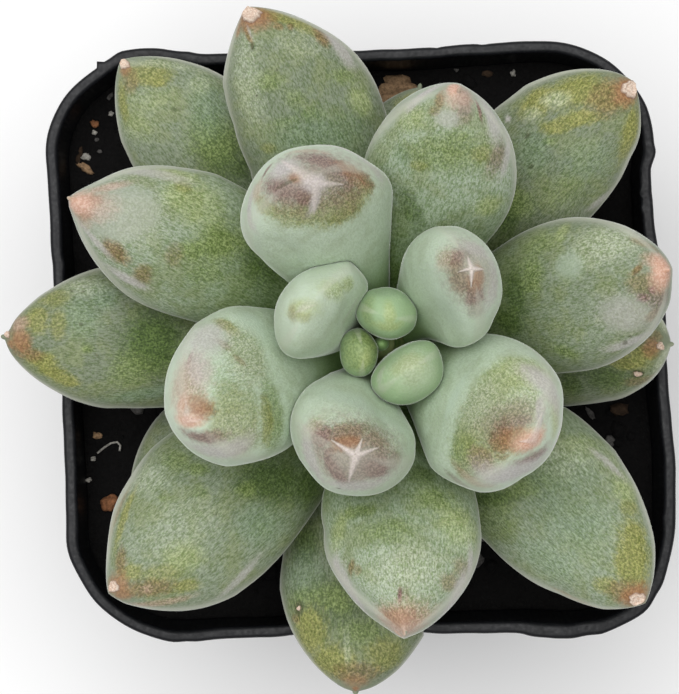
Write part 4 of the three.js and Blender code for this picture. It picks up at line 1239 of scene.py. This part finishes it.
    def faces(self):
        return ringed_faces(len(self.rings), self.sides)

    def ring_up(self):
        """The rings again, after their points have moved."""
        self.rings = self.points[:-2].reshape(-1, self.sides, 3)

    def normals(self):
        """Which way the skin faces at each point."""
        round_way = np.roll(self.rings, -1, 1) - np.roll(self.rings, 1, 1)
        long_way = np.gradient(self.rings, axis=0)
        facing = np.cross(round_way, long_way)
        facing /= np.maximum(np.linalg.norm(facing, axis=2, keepdims=True), 1e-9)
        along, _ = self.directions(np.array([0.0, 1.0]))
        return np.vstack([facing.reshape(-1, 3), [-along[0], along[1]]])

    def on_rays(self, facing):
        """How much each point lies on the pale ridges, and how far it is from them."""
        on, away = np.zeros(len(self.points)), np.full(len(self.points), 99.0)
        if self.number in RAYS:
            _, middle, arms = RAYS[self.number]
            for x, y, half in arms:
                arm = np.array((x, y)) - middle
                share = np.clip((self.points[:, :2] - middle) @ arm / (arm @ arm), 0, 1)
                off = np.linalg.norm(self.points[:, :2] - middle - share[:, None] * arm, axis=1)
                off += np.where(facing[:, 2] < 0.1, 99, 0)
                half_here = half * (1 - (1 - RAY_END_SHARE) * share)
                on = np.maximum(on, np.clip(1 - off / half_here / 2, 0, 1))
                away = np.minimum(away, off)
        return on, away

    def raise_rays(self):
        """Lifts the ridges as strongly as the star shows, and hollows the skin softly beside them."""
        facing = self.normals()
        on, away = self.on_rays(facing)
        lift = RAY_LIFT * smooth_step(0.15, 0.8, on) - HOLLOW_DEEP * np.exp(-((away / HOLLOW_REACH) ** 2))
        self.points += facing * lift[:, None] * RAYS.get(self.number, (0,))[0]
        self.ring_up()

    def press_under(self, younger):
        """Dents this leaf where a younger one lies in it."""
        low, high = younger.points.min(0) - 0.5, younger.points.max(0) + 0.5
        near = np.where(np.all((self.points > low) & (self.points < high), axis=1))[0]
        for i in near:
            place, facing, _, depth = younger.tree.find_nearest(self.points[i])
            inside = (Vector(self.points[i]) - place).dot(facing) < PRESSED_GAP
            if inside and depth < DEEPEST_PRESS:
                self.points[i] = place + facing * PRESSED_GAP
        self.ring_up()

    def settle(self):
        """The leaf's shape is done: keep a tree of its faces for the leaves below it."""
        self.tree = BVHTree.FromPolygons([tuple(p) for p in self.points], self.faces())


def skin_spot(points, facing, x, y, turn):
    """Where a spot seen from above lies on the skin: its place, the way it faces, and its long axis."""
    plan = np.hypot(points[:, 0] - x, points[:, 1] - y)
    at = int(np.argmin(plan + np.where(facing[:, 2] > 0.05, 0, 50)))
    axis = np.array((math.cos(math.radians(turn)), math.sin(math.radians(turn)), 0))
    axis = axis - facing[at] * (axis @ facing[at])
    return np.array((x, y, points[at, 2])), facing[at], axis / np.linalg.norm(axis)


def patch_share(points, facing, x, y, long, wide, turn):
    """How much each point lies in one mark: 1 at its middle, a half at its border and 0 well outside."""
    centre, normal, axis = skin_spot(points, facing, x, y, turn)
    away = points - centre
    run, deep = away @ axis, away @ normal
    rest = np.sqrt(np.maximum((away**2).sum(1) - run**2 - 0.8 * deep**2, 0))
    same_side = smooth_step(-0.3, 0.2, facing @ normal)
    return same_side * np.clip(1.3 - 0.8 * np.hypot(run / long, rest / wide), 0, 1)


def marked(points, facing, marks):
    """A kind's marks on one leaf: how much each point lies in them, and how strong they are there."""
    inside, weighed, total = np.zeros(len(points)), np.zeros(len(points)), np.full(len(points), 1e-9)
    for mark in marks:
        share = patch_share(points, facing, *mark[:5])
        inside = np.maximum(inside, share)
        weighed += share**4 * (mark[5] if len(mark) > 5 else 1)
        total += share**4
    return np.column_stack([inside, weighed / total, np.zeros(len(points))])


def skin_masks(leaf):
    """Where each colour shows on a leaf: a number for each point, or a mark's share and its strength."""
    facing = leaf.normals()
    masks = {}
    for kind in KINDS:
        masks[kind] = marked(leaf.points, facing, MARKS.get(leaf.number, {}).get(kind, []))
    starry = np.full(len(leaf.points), RAYS.get(leaf.number, (0,))[0])
    masks["ray"] = np.column_stack([leaf.on_rays(facing)[0], starry, 0 * starry])
    upper = smooth_step(-0.15, 0.25, np.sin(leaf.angle))
    marginal = np.abs(np.cos(leaf.angle))
    outer = float(leaf.number > LAST_SOFT_TIP)
    tipless = smooth_step(0.1, 0.4, leaf.share) * (1 - smooth_step(0.93, 1, leaf.share))
    # The edge: the margin's pale skin, with a painted highlight, stronger where the margin is the outline.
    masks["edge"] = (0.6 + 0.4 * outer) * smooth_step(0.975, 0.998, marginal) * tipless
    masks["band"] = outer * smooth_step(0.93, 0.99, marginal) * tipless
    # The foot: greener bloomless flesh and painted shade between leaves, reaching further on outer ones.
    masks["foot"] = 1 - smooth_step(0.12, 0.5 + 0.2 * outer, leaf.share)
    smooth_skin = np.max([smooth_step(0.35, 0.65, masks[kind][:, 0]) for kind in SMOOTH_KINDS], axis=0)
    worn_skin = np.max([smooth_step(0.2, 0.7, masks[kind][:, 0]) for kind in WORN_KINDS], axis=0)
    grainy = (1 - 0.7 * smooth_step(0.92, 0.99, marginal)) * (1 - smooth_step(0.93, 1, leaf.share))
    grainy = grainy * (0.25 + 0.75 * upper) * (1 - 0.7 * smooth_skin) * (1 - masks["ray"][:, 0])
    half_grown = 0.2 + 0.5 * worn_skin + 0.1 * (leaf.number > 6)
    masks["grain"] = grainy * (1 if outer else half_grown if leaf.number > YOUNG_LEAVES else 0.15)
    masks["shade"] = np.full(len(leaf.points), WORN[leaf.number - 10] if outer else 0.0)
    return masks


def effect_group(name, takes, gives):
    """A node group of one effect, with its named inputs and outputs."""
    tree = bpy.data.node_groups.new(name, "ShaderNodeTree")
    for label, kind, value in takes:
        socket = tree.interface.new_socket(label, in_out="INPUT", socket_type="NodeSocket" + kind)
        if value is not None:
            socket.default_value = value
    for label, kind in gives:
        tree.interface.new_socket(label, in_out="OUTPUT", socket_type="NodeSocket" + kind)
    return tree, tree.nodes.new("NodeGroupInput").outputs, tree.nodes.new("NodeGroupOutput").inputs


def patch_group():
    """A painted patch: its soft share, frayed by a noise and cut off at a border."""
    takes = [("Mark", "Vector", None), ("Fray", "Float", 0.5), ("Ragged", "Float", 0.4)]
    takes += [("Soft", "Float", 0.3), ("Strength", "Float", 1)]
    tree, given, made = effect_group("frayed_patch", takes, [("Patch", "Float")])
    share, strong, _ = add(tree, "SeparateXYZ", {0: given["Mark"]}).outputs
    strength = reckoned(tree, "MULTIPLY", strong, given["Strength"])
    centred = reckoned(tree, "SUBTRACT", given["Fray"], 0.5)
    frayed = reckoned(tree, "MULTIPLY_ADD", centred, given["Ragged"], share)
    low = reckoned(tree, "SUBTRACT", 0.5, given["Soft"])
    high = reckoned(tree, "ADD", 0.5, given["Soft"])
    cut = ramp(tree, frayed, low, high, 0, strength, interpolation_type="SMOOTHSTEP")
    tree.links.new(cut, made["Patch"])
    return tree


def grain_group():
    """Leaf grain: short dashes along the leaf, small bright cells, blotches, and a fray for borders."""
    gives = [(label, "Float") for label in ("Dashes", "Cells", "Blotches", "Fray", "Flecks")]
    tree, given, made = effect_group("leaf_grain", [("Skin", "Vector", None)], gives)
    skin = given["Skin"]
    drawn = add(tree, "Mapping", {"Vector": skin, "Scale": (6, 6, 1.8)}).outputs[0]
    veins = add(tree, "Mapping", {"Vector": skin, "Scale": (2, 2, 0.7)}).outputs[0]
    spots = add(tree, "TexVoronoi", {"Vector": skin, "Scale": 0.42, "Randomness": 1})
    for label, source, low, high, to_low, to_high in (
        ("Dashes", cloud(tree, drawn, 1, 3, 0.6, Distortion=0.5), 0.4, 0.64, 0, 1),
        ("Cells", cloud(tree, skin, 4.4, 2, 0.55), 0.4, 0.62, 0, 1),
        ("Blotches", cloud(tree, skin, 0.32, 4, 0.62), 0.42, 0.62, 0, 1),
        ("Flecks", spots.outputs["Distance"], 0.05, 0.09, 1, 0),
    ):
        step = ramp(tree, source, low, high, to_low, to_high, interpolation_type="SMOOTHSTEP")
        tree.links.new(step, made[label])
    tree.links.new(cloud(tree, veins, 1, 4, 0.65), made["Fray"])
    return tree


def tone(red, green, blue):
    """A colour as seen in daylight, 0 to 255, as the light it reflects."""
    shares = [value / 255 for value in (red, green, blue)]
    return (*[v / 12.92 if v < 0.04045 else ((v + 0.055) / 1.055) ** 2.4 for v in shares], 1)


GRAIN = grain_group()
PATCH = patch_group()
DASH_TINT = (0.54, 0.62, 0.44, 1)
FLECK_TINT = (0.5, 0.55, 0.42, 1)
# The young leaves' foot: green flesh painted lighter, as light shining through it.
YOUNG_FOOT_AND_GLOW = tone(112, 148, 70)
BAND_TONE = tone(172, 174, 162)
# The thin pale margin line: its own pale skin, partly a painted highlight on the outline.
MARGIN_AND_HIGHLIGHT_TONE = tone(196, 198, 182)
# Each skin: with its full bloom, with its bloom worn off, where it is rubbed, and at the leaf's foot.
# The foot tones: the greener flesh painted darker, as shade between the leaves.
WAXY_TONES = ((190, 204, 184), (122, 130, 110), (128, 136, 90), (70, 88, 34))
YOUNG_TONES = ((154, 178, 140), (154, 176, 136), (144, 166, 112), (78, 102, 44))


def leaf_skin(name, roughness, pale, aged, rubbed, foot):
    """Waxy leaf skin: pale bloom over green, rubbed, grained and patched, with painted shade and light."""
    material, tree, shader = material_with(
        name,
        {
            "Subsurface Weight": 0.08,
            "Subsurface Radius": (0.8, 1.0, 0.5),
            "Subsurface Scale": 0.0009,
            "Specular IOR Level": 0.3,
            "Sheen Roughness": 0.25,
            "Sheen Tint": (0.94, 0.96, 0.93, 1),
        },
    )

    def mask(label, share=1):
        shown = add(tree, "Attribute", attribute_name=label).outputs["Fac"]
        return shown if share == 1 else reckoned(tree, "MULTIPLY", shown, share)

    skin = add(tree, "Attribute", attribute_name="skin").outputs["Vector"]
    grain = add(tree, "Group", {"Skin": skin}, node_tree=GRAIN)
    dashes, cells, blotches, fray, flecks = grain.outputs

    clouds = reckoned(tree, "MULTIPLY", blotches, reckoned(tree, "MULTIPLY_ADD", mask("grain"), 0.4, 0.1))
    # The foot: painted light shining through on young leaves, painted shade on worn ones, over its green.
    foot_green_shade_and_glow = mixed(tree, mask("shade"), YOUNG_FOOT_AND_GLOW, tone(*foot))
    colour = mixed(tree, mask("shade"), tone(*pale), tone(*aged))
    colour = mixed(tree, clouds, colour, tone(*rubbed))
    colour = mixed(tree, mask("foot", 0.85), colour, foot_green_shade_and_glow)
    colour = mixed(tree, mask("band", 0.22), colour, BAND_TONE)
    for kind, (first, second, ragged, soft, strength) in KINDS.items():
        mark = add(tree, "Attribute", attribute_name=kind).outputs["Vector"]
        values = {"Mark": mark, "Fray": fray, "Ragged": ragged, "Soft": soft, "Strength": strength}
        patch = add(tree, "Group", values, node_tree=PATCH)
        colour = mixed(tree, patch.outputs[0], colour, mixed(tree, cells, tone(*first), tone(*second)))
    grained, celled, flecked = (
        reckoned(tree, "MULTIPLY", part, mask("grain")) for part in (dashes, cells, flecks)
    )
    colour = mixed(tree, grained, colour, DASH_TINT, blend_type="MULTIPLY")
    colour = mixed(tree, reckoned(tree, "MULTIPLY", flecked, 0.5), colour, FLECK_TINT, blend_type="MULTIPLY")
    brighter = reckoned(tree, "MULTIPLY_ADD", celled, 0.24, 1.05)
    colour = add(tree, "VectorMath", {0: colour, "Scale": brighter}, operation="SCALE").outputs[0]
    # The pale margin line, partly a painted highlight.
    colour = mixed(tree, mask("edge", 0.5), colour, MARGIN_AND_HIGHLIGHT_TONE)

    surface(tree, shader, colour, reckoned(tree, "SUBTRACT", cells, grained), 0.4, 0.05)
    grazing = add(tree, "LayerWeight", {"Blend": 0.15}).outputs["Facing"]
    tree.links.new(ramp(tree, grazing, 0.36, 0.68, 0.12, 1), shader.inputs["Sheen Weight"])
    tree.links.new(ramp(tree, blotches, 0, 1, roughness, roughness - 0.1), shader.inputs["Roughness"])
    return material


def keep(piece, label, values):
    """Keeps a value, or three, for each point of a piece, for its material to read."""
    kind, part = ("FLOAT_VECTOR", "vector") if values.ndim == 2 else ("FLOAT", "value")
    layer = piece.data.attributes.new(label, kind, "POINT")
    layer.data.foreach_set(part, values.astype(np.float32).ravel())


def build_leaf(leaf, material):
    node = f"leaf_{leaf.number:02d}"
    piece = mesh_piece(node + "_skin", leaf.points, leaf.faces(), material)
    for label, values in skin_masks(leaf).items():
        keep(piece, label, values)
    keep(piece, "skin", leaf.skin)
    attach(piece, "root")
    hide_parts(node)


def grow_leaves():
    old_skin = leaf_skin("waxy_leaf", 0.6, *WAXY_TONES)
    young_skin = leaf_skin("young_leaf", 0.5, *YOUNG_TONES)
    grown = []
    for number in range(1, len(LEAVES) + 1):
        leaf = Leaf(number)
        for younger in grown:
            leaf.press_under(younger)
        leaf.settle()
        grown.append(leaf)
        young = number <= YOUNG_LEAVES
        build_leaf(leaf, young_skin if young else old_skin)
    return grown, young_skin


grown_leaves, bud_skin = grow_leaves()

# The bud: the next leaf, still a tiny green drop between the youngest three, on the stem's tip.
BUD_RADIUS = 0.75
BUD_HEIGHT = 2.9
BUD_Z = APEX_Z + APEX_DOME + 0.3
BUD_PROFILE = ((0.5, 0), (0.9, 0.2), (1, 0.45), (0.7, 0.75), (0.36, 0.93), (0.1, 0.99))


def build_bud():
    shares = np.linspace(0, 1, 28)
    radii = [point[0] for point in BUD_PROFILE]
    heights = [point[1] for point in BUD_PROFILE]
    profile = [(BUD_RADIUS * np.interp(h, heights, radii), BUD_Z + BUD_HEIGHT * h) for h in shares * 0.99]
    bud = turned_piece("bud_drop", profile, lambda turn, z: 0.03 * math.cos(2 * turn), bud_skin)
    keep(bud, "skin", np.array([tuple(v.co) for v in bud.data.vertices]) / MM)
    # The bud takes the young foot's green, painted lighter as light shining through it.
    keep(bud, "foot", np.full(len(bud.data.vertices), 0.7))
    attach(bud, "root")
    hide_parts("bud")


build_bud()

# Scabs: dry cream callus where a leaf's tip was knocked and healed, a raised rim round a shallow pit.
# Each grows from the skin of its leaf and is brown where it meets it.
SCAB_RINGS = 14
SCAB_SIDES = 40
# Leaf, x, y, half length, half width, turn in degrees, height.
SCABS = (
    (15, -9.7, 33.6, 1.55, 1.05, 5, 0.46),
    (18, 28.8, 24.7, 1.1, 1.05, 40, 0.4),
    (16, 27, -27.5, 1.1, 0.8, 20, 0.36),
    (14, -26, -23.7, 0.72, 0.7, 0, 0.32),
    (20, -23.3, 29.9, 0.62, 0.75, 20, 0.3),
    (17, -36.2, 2.2, 0.35, 0.45, 0, 0.24),
    (21, 31.2, -1.9, 0.45, 0.55, 40, 0.26),
    (21, 28.75, -4.7, 0.52, 0.3, -10, 0.22),
    (19, -7.6, -27.5, 0.3, 0.24, 60, 0.16),
)


def scab_crust():
    material, tree, shader = material_with("dry_callus", {"Roughness": 0.75, "Specular IOR Level": 0.3})
    place = add(tree, "TexCoord").outputs["Object"]
    crust = cloud(tree, place, 5200, 4, 0.65)
    rimward = add(tree, "Attribute", attribute_name="rimward").outputs["Fac"]
    pale = mixed(tree, ramp(tree, crust, 0.35, 0.62), tone(192, 162, 142), tone(230, 214, 198))
    surface(tree, shader, mixed(tree, rimward, pale, tone(116, 70, 38)), crust, 0.7, 0.12)
    return material


def scab_lump(leaf, number, x, y, long, wide, turn, height):
    """Rings of points from a scab's outline in to its pit, and how near each is to the outline."""
    centre, normal, axis = skin_spot(leaf.points, leaf.normals(), x, y, turn)
    side = np.cross(normal, axis)
    points, rims = [], []
    for share in np.arange(SCAB_RINGS, 0, -1) / SCAB_RINGS:
        rim = math.exp(-(((share - 0.68) / 0.2) ** 2)) + 0.55 * math.exp(-((share / 0.5) ** 2))
        rim *= height * (1 - smooth_step(0.82, 1, share))
        for way in np.linspace(0, 2 * math.pi, SCAB_SIDES, endpoint=False):
            wobble = 1 + 0.12 * math.sin(3 * way + number) + 0.07 * math.sin(7 * way + 2 * number)
            flat = axis * math.cos(way) * long + side * math.sin(way) * wide
            spot = centre + flat * share * wobble
            lump = 1 + 0.25 * noise.noise(Vector(spot) * 3.1)
            points.append(np.array(leaf.tree.find_nearest(spot)[0]) + normal * (rim * lump - 0.04 * share))
            rims.append(smooth_step(0.78, 0.96, share))
    middle = np.array(leaf.tree.find_nearest(centre)[0])
    return points + [middle - normal * 0.3, middle + normal * height * 0.5], np.array(rims + [1, 0])


def build_scabs():
    crust = scab_crust()
    for number, (leaf_number, *sizes) in enumerate(SCABS):
        points, rims = scab_lump(grown_leaves[leaf_number - 1], number, *sizes)
        scab = mesh_piece(f"scab_{number + 1}", points, ringed_faces(SCAB_RINGS, SCAB_SIDES), crust)
        keep(scab, "rimward", rims)
        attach(scab, "root")


build_scabs()
